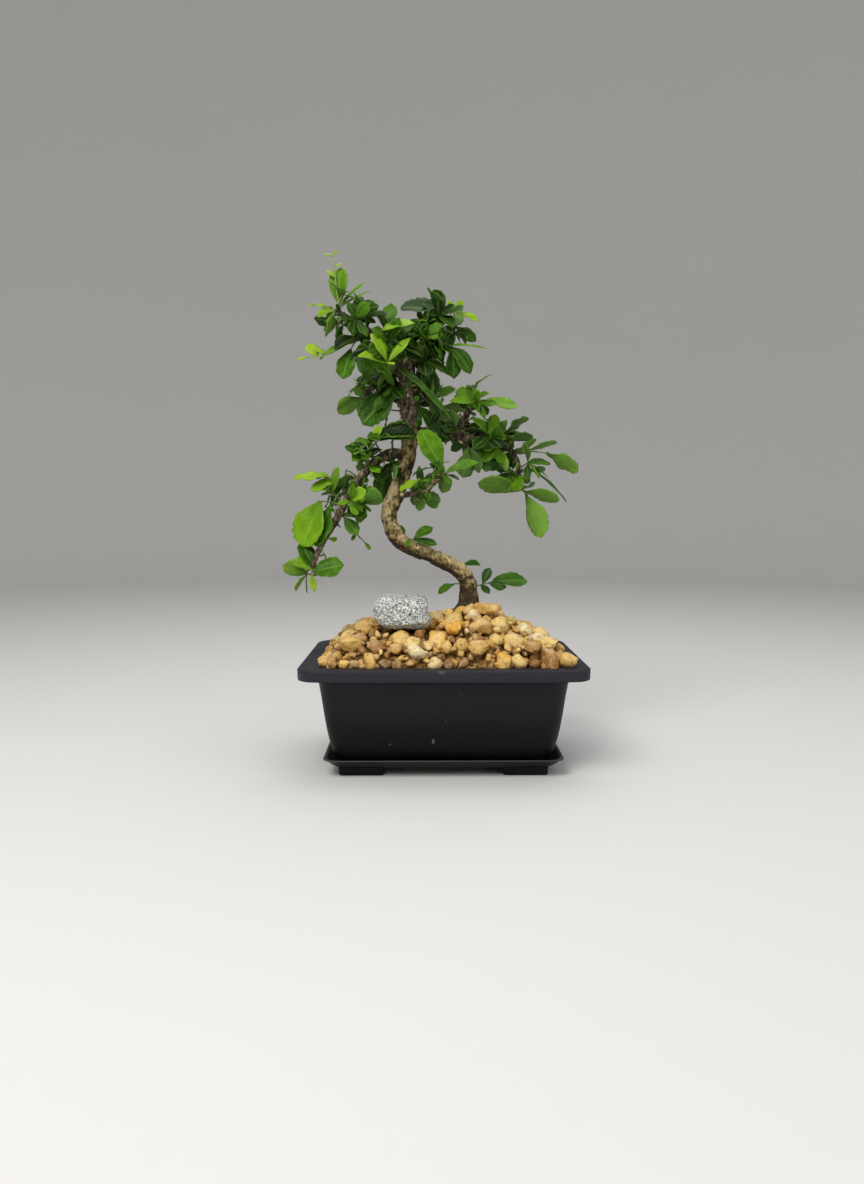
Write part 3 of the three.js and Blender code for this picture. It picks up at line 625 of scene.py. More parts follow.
class Tool:
    """Hand tools: each works on one object through Blender's own operators."""

    @staticmethod
    def deselect() -> None:
        """Leaves nothing selected."""
        bpy.ops.object.select_all(action="DESELECT")

    @staticmethod
    def take(*pieces: bpy.types.Object) -> None:
        """Selects only these, the first one active.

        Args:
            *pieces: what is selected.
        """
        Tool.deselect()
        for piece in pieces:
            piece.select_set(True)
        bpy.context.view_layer.objects.active = pieces[0]

    @staticmethod
    def active() -> bpy.types.Object:
        """The piece that the last operator made or worked on."""
        return bpy.context.view_layer.objects.active

    @staticmethod
    def join(name: str, pieces: list[bpy.types.Object]) -> bpy.types.Object:
        """Joins pieces into the first one and names it.

        Args:
            name: the joined piece's name.
            pieces: what is joined.

        Returns:
            The joined piece.
        """
        Tool.take(*pieces)
        if len(pieces) > 1:
            bpy.ops.object.join()
        pieces[0].name = name
        pieces[0].data.name = name
        return pieces[0]

    @staticmethod
    def settle(piece: bpy.types.Object) -> None:
        """Moves a piece's place into its mesh."""
        Tool.take(piece)
        bpy.ops.object.transform_apply(location=True, rotation=True, scale=True)

    @staticmethod
    def modify(piece: bpy.types.Object, kind: str, **settings: object) -> None:
        """Adds a modifier with these settings and applies it.

        Args:
            piece: what it works on.
            kind: the modifier's type.
            **settings: its properties by name.
        """
        Tool.take(piece)
        made = piece.modifiers.new(kind.lower(), kind)
        for key, value in settings.items():
            setattr(made, key, value)
        bpy.ops.object.modifier_apply(modifier=made.name)

    @staticmethod
    def texture(kind: str, size: float, depth: int = 2) -> bpy.types.Texture:
        """A displacement pattern of that size in metres.

        Args:
            kind: the pattern's type.
            size: its size in metres.
            depth: how many finer layers it has.

        Returns:
            The pattern.
        """
        made = bpy.data.textures.new(kind.lower(), kind)
        made.noise_scale = size
        if hasattr(made, "noise_depth"):
            made.noise_depth = depth
        return made

    @staticmethod
    def roughen(piece: bpy.types.Object, kind: str, size: float, strength: float, depth: int = 2) -> None:
        """Displaces a piece along its normals by a pattern.

        Args:
            piece: what it works on.
            kind: the pattern's type.
            size: the pattern's size.
            strength: how far it moves points.
            depth: how many finer layers it has.
        """
        Tool.modify(
            piece, "DISPLACE", texture=Tool.texture(kind, size, depth), strength=strength, mid_level=0.5
        )

    @staticmethod
    def shade(piece: bpy.types.Object, angle: float = 180.0) -> None:
        """Smooth shading up to an angle in degrees."""
        Tool.take(piece)
        bpy.ops.object.shade_smooth_by_angle(angle=math.radians(angle))

    @staticmethod
    def dress(piece: bpy.types.Object, *materials: bpy.types.Material) -> None:
        """Gives a piece these materials in order.

        Args:
            piece: what is dressed.
            *materials: its finishes.
        """
        piece.data.materials.clear()
        for material in materials:
            piece.data.materials.append(material)

    @staticmethod
    def mark(piece: bpy.types.Object, value: float | np.ndarray, name: str = "tone") -> None:
        """Writes a number on each of a piece's points, the same for all or one for each."""
        made = piece.data.attributes.new(name, "FLOAT", "POINT")
        made.data.foreach_set("value", np.full(len(piece.data.vertices), value, np.float32))

    @staticmethod
    def copy(piece: bpy.types.Object, points: np.ndarray) -> bpy.types.Object:
        """A copy of a piece with its own mesh, its points moved.

        Args:
            piece: the master.
            points: where the copy's points go.

        Returns:
            The copy.
        """
        made = piece.copy()
        made.data = piece.data.copy()
        Tool.reshape(made, points)
        bpy.context.scene.collection.objects.link(made)
        return made

    @staticmethod
    def points(piece: bpy.types.Object) -> np.ndarray:
        """A piece's points.

        Args:
            piece: what is read.

        Returns:
            One row of x, y and z for each point.
        """
        co = np.zeros(len(piece.data.vertices) * 3, np.float32)
        piece.data.vertices.foreach_get("co", co)
        return co.reshape(-1, 3).astype(float)

    @staticmethod
    def reshape(piece: bpy.types.Object, points: np.ndarray) -> None:
        """Moves a piece's points to new places."""
        piece.data.vertices.foreach_set("co", points.astype(np.float32).ravel())
        piece.data.update()

    @staticmethod
    def cut(piece: bpy.types.Object, cutter: bpy.types.Object) -> None:
        """Takes a cutter's space out of a piece and removes the cutter.

        Args:
            piece: what is cut.
            cutter: the shape that is taken out of it.
        """
        Tool.settle(cutter)
        Tool.modify(piece, "BOOLEAN", operation="DIFFERENCE", object=cutter, solver="EXACT")
        Tool.drop([cutter])

    @staticmethod
    def drop(pieces: list[bpy.types.Object]) -> None:
        """Removes masters that were only copied from."""
        for piece in pieces:
            bpy.data.objects.remove(piece)

    @staticmethod
    def tube(path: list[tuple[Vector, float]], sides: int) -> bpy.types.Object:
        """A round tube along points that each hold a radius, as a capped mesh.

        Args:
            path: places, each with a radius.
            sides: how round it is.

        Returns:
            The tube.
        """
        curve = bpy.data.curves.new("tube", "CURVE")
        curve.dimensions = "3D"
        curve.bevel_depth = 1.0
        curve.bevel_resolution = sides
        curve.use_fill_caps = True
        spline = curve.splines.new("POLY")
        spline.points.add(len(path) - 1)
        for point, (place, radius) in zip(spline.points, path):
            point.co = (*place, 1)
            point.radius = radius
        made = bpy.data.objects.new("tube", curve)
        bpy.context.scene.collection.objects.link(made)
        Tool.take(made)
        bpy.ops.object.convert(target="MESH")
        return Tool.active()

    @staticmethod
    def basin(name: str, start: Point, corner: float, rings: list[Point]) -> bpy.types.Object:
        """A rounded slab drawn up ring by ring, as a moulded tray or pot is.

        Args:
            name: the piece's name.
            start: half width, half depth and height of the first ring.
            corner: the corner radius of the first ring.
            rings: half width, half depth and height of every following ring.

        Returns:
            The piece, closed.
        """
        Tool.deselect()
        width, depth, height = start
        bpy.ops.mesh.primitive_plane_add(size=2, location=(0, 0, height))
        piece = Tool.active()
        piece.name = name
        piece.scale = (width, depth, 1)
        Tool.settle(piece)
        bpy.ops.object.mode_set(mode="EDIT")
        bpy.ops.mesh.select_all(action="SELECT")
        bpy.ops.mesh.bevel(offset=corner, segments=9, affect="VERTICES", clamp_overlap=True)
        bpy.ops.mesh.select_all(action="SELECT")
        for wide, deep, high in rings:
            bpy.ops.mesh.extrude_region_move(TRANSFORM_OT_translate={"value": (0, 0, high - height)})
            bpy.ops.transform.resize(
                value=(wide / width, deep / depth, 1), center_override=(0, 0, high)
            )
            width, depth, height = wide, deep, high
        bpy.ops.mesh.select_all(action="SELECT")
        bpy.ops.mesh.remove_doubles(threshold=1e-6)
        bpy.ops.mesh.normals_make_consistent(inside=False)
        bpy.ops.object.mode_set(mode="OBJECT")
        return piece

    @staticmethod
    def hand_in(piece: bpy.types.Object, slot: str, *nodes: str) -> None:
        """Lets a finished piece ride on the body and stand for its CAD nodes.

        Args:
            piece: what is finished.
            slot: not used.
            *nodes: the CAD nodes it stands for.
        """
        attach(piece, BODY)
        if nodes:
            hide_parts(*nodes)
        triangles = sum(len(p.vertices) - 2 for p in piece.data.polygons)
        LOG.info("%s: %d triangles", piece.name, triangles)


# ------------------------------------------------------------------- pot and tray


@dataclass
class TrainingPot:
    """The moulded pot: a leaning body, a broad flange and its down-turned skirt."""

    flange: float = 13 * MM
    skirt: float = 7.6 * MM
    taper: float = 15.5 * MM
    wall: float = 1.6 * MM
    corner: float = 10 * MM
    hole: float = 16 * MM
    spread: float = 76 * MM
    nick_x: float = -2 * MM
    pip_x: float = -7.4 * MM
    pip_share: float = 0.253
    profile: tuple[tuple[float, float], ...] = (
        (0.0, 1.0), (0.015, 0.84), (0.04, 0.71), (0.1, 0.61), (0.19, 0.51), (0.26, 0.43), (0.36, 0.34),
        (0.52, 0.23), (0.69, 0.13), (0.83, 0.03),
    )

    def build(self) -> bpy.types.Object:
        """Builds and dresses the pot.

        Returns:
            The piece.
        """
        low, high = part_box("pot")
        rim_w, rim_d, top, base = high.x, high.y, high.z, low.z
        wide, deep = rim_w - self.flange, rim_d - self.flange
        tall = top - base

        def body(share: float, lean: float, inset: float = 0.0, lift: float = 0.0) -> Point:
            """A ring of the body."""
            out = self.taper * lean + inset
            return (wide - out, deep - out, base + tall * share + lift)

        outside = [body(*step) for step in self.profile[1:]]
        band = [body(0.845, 0.02, -1.2 * MM), body(0.852, 0, -1.9 * MM), body(0.905, 0, -1.9 * MM)]
        under = top - 2.5 * MM
        lip = [
            (rim_w - 2.2 * MM, rim_d - 2.2 * MM, under),
            (rim_w - 1.8 * MM, rim_d - 1.8 * MM, top - self.skirt),
            (rim_w - 0.2 * MM, rim_d - 0.2 * MM, top - self.skirt),
            (rim_w, rim_d, top - 0.7 * MM),
            (rim_w - 0.7 * MM, rim_d - 0.7 * MM, top),
            (wide - 0.8 * MM, deep - 0.8 * MM, top - 0.2 * MM),
        ]
        inside = [body(s, lean, self.wall) for s, lean in reversed(self.profile[2:])]
        floor = body(0, 1, self.wall, 2 * self.wall)
        start = body(*self.profile[0])
        first = (band[2][0], band[2][1], under)
        pot = Tool.basin("pot_shell", start, self.corner, [*outside, *band, first, *lip, *inside, floor])
        for side in (-1, 1):
            self.drain(pot, side * self.spread / 2, base)
        self.nick(pot, rim_d, top)
        pip = self.pip(deep, base, tall)
        Tool.modify(pot, "BEVEL", width=0.35 * MM, segments=2, limit_method="ANGLE", angle_limit=0.6)
        pot = Tool.join("pot_shell", [pot, pip])
        Tool.shade(pot, 40)
        Tool.dress(pot, PotPlastic().make())
        Tool.hand_in(pot, "pot_plastic", "pot")
        return pot

    def drain(self, pot: bpy.types.Object, x: float, z: float) -> None:
        """Cuts one drain hole through the floor.

        Args:
            pot: the pot.
            x: the hole's place across.
            z: the floor's height.
        """
        Tool.deselect()
        bpy.ops.mesh.primitive_cylinder_add(
            vertices=40, radius=self.hole / 2, depth=0.012, location=(x, 0, z)
        )
        Tool.cut(pot, Tool.active())

    def nick(self, pot: bpy.types.Object, front: float, top: float) -> None:
        """Cuts the small worn nick in the front edge of the flange.

        Args:
            pot: the pot.
            front: the rim's half depth.
            top: the rim's height.
        """
        Tool.deselect()
        bpy.ops.mesh.primitive_uv_sphere_add(
            segments=16, ring_count=8, radius=1.5 * MM,
            location=(self.nick_x, -front - 0.5 * MM, top + 0.5 * MM),
        )
        Tool.cut(pot, Tool.active())

    def pip(self, deep: float, base: float, tall: float) -> bpy.types.Object:
        """The small moulded pip on the front wall.

        Args:
            deep: the body's half depth.
            base: the foot's height.
            tall: the pot's height.

        Returns:
            The pip.
        """
        Tool.deselect()
        front = -(deep - self.taper * 0.4)
        bpy.ops.mesh.primitive_uv_sphere_add(
            segments=16, ring_count=10, radius=1.5 * MM,
            location=(self.pip_x, front, base + tall * self.pip_share),
        )
        made = Tool.active()
        made.scale = (0.8, 0.7, 1.25)
        Tool.settle(made)
        return made


@dataclass
class DripTray:
    """The thin tray under the pot, with a flared lip and four feet."""

    inset: float = 7.5 * MM
    wall: float = 1.6 * MM
    foot_high: float = 6 * MM
    foot_long: float = 33 * MM
    foot_deep: float = 11 * MM
    foot_gap: float = 84 * MM
    floor: float = 8 * MM
    corner: float = 8 * MM

    def build(self) -> bpy.types.Object:
        """Builds and dresses the tray.

        Returns:
            The piece.
        """
        _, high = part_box("drip_tray")
        wide, deep, top = high.x, high.y, high.z
        flare = self.inset

        def ring(inset: float, z: float) -> Point:
            """A ring of the tray."""
            return (wide - inset, deep - inset, z)

        rings = [
            ring(flare - 0.6 * MM, self.foot_high + 1 * MM),
            ring(flare - 2.2 * MM, self.foot_high + 2.2 * MM),
            ring(flare - 4 * MM, self.foot_high + 4 * MM),
            ring(1.2 * MM, top - 1.1 * MM),
            ring(0.1 * MM, top - 0.8 * MM),
            ring(0, top - 0.3 * MM),
            ring(0.3 * MM, top),
            ring(self.wall, top),
            ring(flare - 4 * MM + self.wall, self.foot_high + 4.6 * MM),
            ring(flare + self.wall, self.floor),
        ]
        tray = Tool.basin("tray_shell", ring(flare + 1 * MM, self.foot_high), self.corner, rings)
        feet = [self.foot(sx, sy, deep) for sx in (-1, 1) for sy in (-1, 1)]
        Tool.modify(tray, "BEVEL", width=0.25 * MM, segments=2, limit_method="ANGLE", angle_limit=0.6)
        tray = Tool.join("tray_shell", [tray, *feet])
        Tool.shade(tray, 40)
        # The sixth value weighs the scuffs and the painted light; the last one starts the painted highlight
        # line along the lip.
        finish = PotPlastic(
            "tray_plastic", (0.0025, 0.0027, 0.0033), (0.02, 0.02, 0.023), 0.3, 0.4, 0.3, top - 0.9 * MM
        )
        Tool.dress(tray, finish.make())
        Tool.hand_in(tray, "tray_plastic", "drip_tray")
        return tray

    def foot(self, sx: int, sy: int, deep: float) -> bpy.types.Object:
        """One foot, narrower at its sole.

        Args:
            sx: its side across, -1 or 1.
            sy: its side in depth, -1 or 1.
            deep: the tray's half depth.

        Returns:
            The foot.
        """
        rings = [
            (self.foot_long / 2 - 0.7 * MM, self.foot_deep / 2 - 0.7 * MM, 0.5 * MM),
            (self.foot_long / 2, self.foot_deep / 2, self.foot_high + 0.5 * MM),
        ]
        start = (self.foot_long / 2 - 1.2 * MM, self.foot_deep / 2 - 1.2 * MM, 0)
        made = Tool.basin("foot", start, 2 * MM, rings)
        made.location = (
            sx * (self.foot_gap / 2 + self.foot_long / 2),
            sy * (deep - self.inset - self.foot_deep / 2 - 1.2 * MM),
            0,
        )
        Tool.settle(made)
        return made


# ------------------------------------------------------------------- gravel and stone


@dataclass
class Heap:
    """The shape of the gravel heap, from the pot's own box."""

    edge: float = 2.5 * MM
    rise: float = 28 * MM
    knoll: float = 8 * MM
    trunk: tuple[float, float] = (20 * MM, 6 * MM)
    half_w: float = field(init=False)
    half_d: float = field(init=False)
    rim: float = field(init=False)

    def __post_init__(self) -> None:
        """Reads the rim's size."""
        _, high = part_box("pot")
        self.half_w, self.half_d, self.rim = high.x, high.y, high.z

    def height(self, x: float, y: float) -> float:
        """The heap's height over the floor at a place.

        Args:
            x: the place across.
            y: the place in depth.

        Returns:
            The height.
        """
        across = 1 - min(abs(x) / (self.half_w * 0.946), 1) ** 3
        depth = 1 - min(abs(y) / (self.half_d * 0.856), 1) ** 1.9
        knoll = math.exp(-(((x - self.trunk[0] - 0.006) / 0.018) ** 2))
        return self.rim + self.edge + (self.rise * across + self.knoll * knoll) * depth

    def normal(self, x: float, y: float) -> Vector:
        """The heap's upward direction at a place.

        Args:
            x: the place across.
            y: the place in depth.

        Returns:
            The direction, of length one.
        """
        step = 0.002
        dx = self.height(x + step, y) - self.height(x - step, y)
        dy = self.height(x, y + step) - self.height(x, y - step)
        return Vector((-dx, -dy, 2 * step)).normalized()


@dataclass
class PebbleMaker:
    """Pebble shapes: balls chopped by planes, worn round, and copied."""

    seed: int = 11
    kinds: int = 8
    large: list[bpy.types.Object] = field(default_factory=list)
    small: list[bpy.types.Object] = field(default_factory=list)

    def shape(self, rng: random.Random, cuts: int, faces: int) -> bpy.types.Object:
        """One pebble of unit radius.

        Args:
            rng: where its chops come from.
            cuts: how many planes chop it.
            faces: about how many triangles it ends with.

        Returns:
            The pebble.
        """
        Tool.deselect()
        bpy.ops.mesh.primitive_ico_sphere_add(subdivisions=4, radius=1.0)
        made = Tool.active()
        bpy.ops.object.mode_set(mode="EDIT")
        for _ in range(cuts):
            bpy.ops.mesh.select_all(action="SELECT")
            way = jitter(rng, 1).normalized()
            bpy.ops.mesh.bisect(
                plane_co=way * rng.uniform(0.5, 0.84), plane_no=way, use_fill=True, clear_outer=True
            )
        bpy.ops.object.mode_set(mode="OBJECT")
        Tool.modify(made, "REMESH", mode="VOXEL", voxel_size=0.08)
        Tool.modify(made, "SMOOTH", factor=0.5, iterations=1)
        Tool.roughen(made, "CLOUDS", 0.5, 0.22, 3)
        Tool.modify(made, "DECIMATE", ratio=min(1.0, faces / (2 * len(made.data.polygons))))
        Tool.shade(made)
        return made

    def stock(self) -> None:
        """Makes the masters that the pebbles are copied from."""
        rng = random.Random(self.seed)
        self.large = [self.shape(rng, 10, 260) for _ in range(self.kinds)]
        self.small = [self.shape(rng, 9, 84) for _ in range(self.kinds)]

    def clear(self) -> None:
        """Removes the masters."""
        Tool.drop(self.large + self.small)

    def place(
        self, master: bpy.types.Object, at: Vector, size: Point, up: Vector, spin: float, tone: float
    ) -> bpy.types.Object:
        """A copy of a pebble of that half size, lying along a slope.

        Args:
            master: the pebble that is copied.
            at: its middle.
            size: its half sizes.
            up: the slope's direction.
            spin: its turn on the slope, in radians.
            tone: its colour.

        Returns:
            The copy.
        """
        lie = up.to_track_quat("Z", "Y").to_matrix() @ Matrix.Rotation(spin, 3, "Z")
        turn = np.array(lie)
        moved = (Tool.points(master) * np.array(size)) @ turn.T + np.array(at)
        made = Tool.copy(master, moved)
        Tool.mark(made, tone)
        return made


class Tint(Enum):
    """Pebble colours, as places on the pebble ramp."""

    BROWN = 0.08
    RUST = 0.2
    TAN = 0.4
    SAND = 0.58
    STRAW = 0.72
    ORANGE = 0.87
    CREAM = 1.0


@dataclass
class GravelBed:
    """The heap: a bed of grit, hundreds of pebbles, and eight larger ones of their own."""

    heap: Heap
    maker: PebbleMaker
    seed: int = 5
    mixture: dict[Tint, int] = field(
        default_factory=lambda: {
            Tint.TAN: 26, Tint.SAND: 26, Tint.STRAW: 18, Tint.RUST: 12, Tint.ORANGE: 9, Tint.CREAM: 5,
            Tint.BROWN: 7,
        }
    )
    trunk_room: float = 8.5 * MM
    margin: float = 13.8 * MM
    grit_margin: float = 15.2 * MM
    pale_beyond: float = 22 * MM
    rusty_beyond: float = -25 * MM
    spans: tuple[tuple[float, float], ...] = ((1.0, 1.35), (0.8, 1.05), (0.62, 0.86))
    passes: tuple[tuple[float, float, int], ...] = (
        (8.0, 10.5, 220), (6.0, 7.6, 700), (4.6, 6.0, 1600), (3.4, 4.6, 3200), (2.0, 3.2, 3600),
    )
    stone: tuple[float, float, float, float] = (-30 * MM, -22 * MM, 19 * MM, 13 * MM)
    named: dict[str, tuple[float, Tint]] = field(
        default_factory=lambda: {
            "pebble_trunk": (0.3, Tint.TAN),
            "pebble_orange": (0.2, Tint.ORANGE),
            "pebble_cream": (0.4, Tint.CREAM),
            "pebble_left": (0.1, Tint.SAND),
            "pebble_front": (0.9, Tint.TAN),
            "pebble_rust": (0.5, Tint.RUST),
            "pebble_corner": (0.7, Tint.STRAW),
            "pebble_back": (0.8, Tint.TAN),
        }
    )

    def build(self) -> None:
        """Builds the bed and every named pebble."""
        material = PebbleFinish().make()
        taken = self.larger(material)
        parts = [self.bed(), *self.scatter(taken)]
        grit = EarthFinish("grit", (0.03, 0.014, 0.005), (0.15, 0.075, 0.022), (0.45, 0.27, 0.08))
        Tool.dress(parts[0], material, grit.make())
        for polygon in parts[0].data.polygons:
            polygon.material_index = 1
        for part in parts[1:]:
            Tool.dress(part, material)
        bed = Tool.join("gravel_heap", parts)
        Tool.hand_in(bed, "gravel", "gravel_bed")

    def larger(self, material: bpy.types.Material) -> list[tuple[Vector, float]]:
        """Builds the named pebbles where the CAD has them.

        Args:
            material: the pebbles' finish.

        Returns:
            Where they lie, with a radius for each.
        """
        rng = random.Random(self.seed)
        taken = []
        for name, (spin, tint) in self.named.items():
            low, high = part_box(name)
            middle, half = (low + high) / 2, (high - low) / 2
            master = self.maker.shape(rng, 8, 1400)
            points = Tool.points(master)
            turn = np.array(Matrix.Rotation(spin * math.pi, 3, "Z"))
            points = points @ turn.T
            points = points / np.abs(points).max(0) * np.array(half) * 1.02
            piece = Tool.copy(master, points + np.array(middle))
            piece.name = name + "_stone"
            Tool.drop([master])
            Tool.mark(piece, tint.value)
            Tool.dress(piece, material)
            slot = "pale_pebble" if tint is Tint.CREAM else "gravel"
            Tool.hand_in(piece, slot, name)
            taken.append((middle, max(half.x, half.y)))
        return taken

    def bed(self) -> bpy.types.Object:
        """The grit under the pebbles, a skin a little below the heap.

        Returns:
            The bed.
        """
        Tool.deselect()
        bpy.ops.mesh.primitive_grid_add(x_subdivisions=90, y_subdivisions=64, size=2)
        made = Tool.active()
        wide, deep = self.heap.half_w - self.grit_margin, self.heap.half_d - self.grit_margin
        points = Tool.points(made)
        points[:, 0] *= wide
        points[:, 1] *= deep
        points[:, 2] = [self.heap.height(x, y) - 0.0085 for x, y, _ in points]
        Tool.reshape(made, points)
        Tool.roughen(made, "VORONOI", 6 * MM, 3 * MM)
        Tool.modify(made, "SOLIDIFY", thickness=0.003, offset=-1)
        Tool.shade(made)
        Tool.mark(made, 0.3)
        return made

    def scatter(self, taken: list[tuple[Vector, float]]) -> list[bpy.types.Object]:
        """Fills the heap with pebbles: a lower layer, a row along the rim, then large ones down to small.

        Args:
            taken: what already lies there.

        Returns:
            The pebbles.
        """
        rng = random.Random(self.seed + 1)
        made = []
        wide, deep = self.heap.half_w - self.margin, self.heap.half_d - self.margin
        laid = np.zeros((0, 3))
        for _ in range(2600):
            radius = rng.uniform(3.2, 4.6) * MM
            x = rng.uniform(-1, 1) * (wide - radius)
            y = rng.uniform(-1, 1) * (deep - radius)
            if self.free(x, y, radius, laid, 0.78):
                laid = np.vstack((laid, (x, y, radius)))
                made.append(self.pebble(rng, x, y, radius, 1.5, small=True))
        laid = np.array([(p.x, p.y, r * 0.78) for p, r in taken])
        for x, y, radius in self.edging(rng, wide, deep):
            if self.free(x, y, radius, laid, 0.7):
                laid = np.vstack((laid, (x, y, radius)))
                down = self.heap.height(x, y) - self.heap.rim - radius * rng.uniform(0.42, 0.6)
                made.append(self.pebble(rng, x, y, radius, down / radius, small=False))
        for least, most, tries in self.passes:
            for _ in range(tries):
                radius = rng.uniform(least, most) * MM
                x = rng.uniform(-1, 1) * (wide - radius * 0.85)
                y = rng.uniform(-1, 1) * (deep - radius * 0.85)
                if self.free(x, y, radius, laid, 0.8):
                    laid = np.vstack((laid, (x, y, radius)))
                    made.append(self.pebble(rng, x, y, radius, 0.36, small=radius < 4.4 * MM))
        for k in range(1600):
            radius = rng.uniform(1.9, 3.4) * MM
            length, other = (wide, deep) if k % 2 else (deep, wide)
            across = rng.choice((-1, 1)) * (other - radius * rng.uniform(0.8, 2.6))
            spot = rng.uniform(-1, 1) * (length - radius)
            x, y = (spot, across) if k % 2 else (across, spot)
            if self.free(x, y, radius, laid, 0.72):
                laid = np.vstack((laid, (x, y, radius)))
                down = self.heap.height(x, y) - self.heap.rim - radius * rng.uniform(0.3, 0.6)
                made.append(self.pebble(rng, x, y, radius, min(down / radius, 1.1), small=True))
        LOG.info("%d pebbles", len(made))
        return made

    def edging(self, rng: random.Random, wide: float, deep: float) -> list[Point]:
        """Places and radii of the pebbles that lean on the rim, all the way round.

        Args:
            rng: where the sizes come from.
            wide: half the gravel's width.
            deep: half its depth.

        Returns:
            Place across, place in depth and radius of each.
        """
        made = []
        for length, other, turned in ((wide, deep, False), (deep, wide, True)):
            for side in (-1, 1):
                at = -length + 4 * MM
                while at < length - 4 * MM:
                    radius = rng.uniform(4.2, 8.2) * MM
                    across = side * (other - radius * rng.uniform(0.6, 0.8))
                    spot = at + radius
                    made.append((across, spot, radius) if turned else (spot, across, radius))
                    at += radius * 1.75
        return made

    def pebble(
        self, rng: random.Random, x: float, y: float, radius: float, sunk: float, small: bool
    ) -> bpy.types.Object:
        """One copied pebble at a place, its middle sunk under the heap by a share of its radius.

        Args:
            rng: where its differences come from.
            x: the place across.
            y: the place in depth.
            radius: its radius.
            sunk: how many radii its middle lies under the heap.
            small: whether it is copied from the small masters.

        Returns:
            The pebble.
        """
        at = Vector((x, y, self.heap.height(x, y) - radius * sunk))
        up = self.heap.normal(x, y) + jitter(rng, 0.3)
        size = tuple(radius * rng.uniform(*span) for span in self.spans)
        tone = rng.choices(list(self.mixture), list(self.mixture.values()))[0].value
        if rng.random() < 0.4 and not small:
            tone = rng.choice((Tint.STRAW, Tint.CREAM)).value if x > self.pale_beyond else tone
            tone = rng.choice((Tint.RUST, Tint.TAN)).value if x < self.rusty_beyond else tone
        # Painted shade: small pebbles of the lower layer, sunk deep in the gaps, are made darker.
        tone += rng.uniform(-0.07, 0.06) - (0.2 if small and sunk > 1.2 else 0)
        masters = self.maker.small if small else self.maker.large
        master = masters[rng.randrange(len(masters))]
        return self.maker.place(master, at, size, up, rng.uniform(0, TURN), tone)

    def free(self, x: float, y: float, radius: float, laid: np.ndarray, near: float) -> bool:
        """Whether a pebble has room there.

        Args:
            x: the place across.
            y: the place in depth.
            radius: its radius.
            laid: what lies there: place across, place in depth and radius.
            near: how close two may come, as a share of their radii.

        Returns:
            True where it has room.
        """
        tx, ty = self.heap.trunk
        if math.hypot(x - tx, y - ty) < self.trunk_room + radius * 0.7:
            return False
        sx, sy, sw, sd = self.stone
        if ((x - sx) / (sw + radius * 0.1)) ** 4 + ((y - sy) / (sd + radius * 0.1)) ** 4 < 1:
            return False
        return not len(laid) or bool(
            np.all(np.hypot(laid[:, 0] - x, laid[:, 1] - y) > near * (radius + laid[:, 2]))
        )


@dataclass
class GraniteStone:
    """The pale block of granite that lies on the gravel."""

    def build(self) -> bpy.types.Object:
        """Builds and dresses the stone.

        Returns:
            The piece.
        """
        low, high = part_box("granite_stone")
        middle, half = (low + high) / 2, (high - low) / 2
        Tool.deselect()
        bpy.ops.mesh.primitive_cube_add(size=2)
        stone = Tool.active()
        stone.name = "granite_block"
        bpy.ops.object.mode_set(mode="EDIT")
        bpy.ops.mesh.select_all(action="SELECT")
        bpy.ops.mesh.bevel(offset=0.42, segments=5, affect="EDGES", clamp_overlap=True)
        for way, reach in (
            ((-0.8, -0.1, -0.75), 1.16), ((0.9, -0.2, -0.55), 1.3), ((0.15, -0.7, -0.75), 1.12),
            ((-0.75, -0.4, 0.65), 1.34), ((0.75, -0.35, 0.7), 1.3), ((-0.1, -0.8, 0.7), 1.22),
            ((-0.3, 0.9, -0.6), 1.1), ((-1.0, -0.35, -0.2), 1.08),
        ):
            plane = Vector(way).normalized()
            bpy.ops.mesh.select_all(action="SELECT")
            bpy.ops.mesh.bisect(plane_co=plane * reach, plane_no=plane, use_fill=True, clear_outer=True)
        bpy.ops.object.mode_set(mode="OBJECT")
        Tool.modify(stone, "REMESH", mode="VOXEL", voxel_size=0.045)
        Tool.modify(stone, "SMOOTH", factor=0.8, iterations=8)
        Tool.roughen(stone, "CLOUDS", 1.1, 0.4, 2)
        Tool.roughen(stone, "CLOUDS", 0.35, 0.09, 2)
        Tool.roughen(stone, "CLOUDS", 0.1, 0.03, 2)
        points = Tool.points(stone)
        points = points / np.abs(points).max(0) * np.array(half)
        Tool.reshape(stone, points + np.array(middle))
        Tool.shade(stone)
        Tool.dress(stone, GraniteFinish().make())
        Tool.hand_in(stone, "granite", "granite_stone")
        return stone


# ------------------------------------------------------------------- the tree


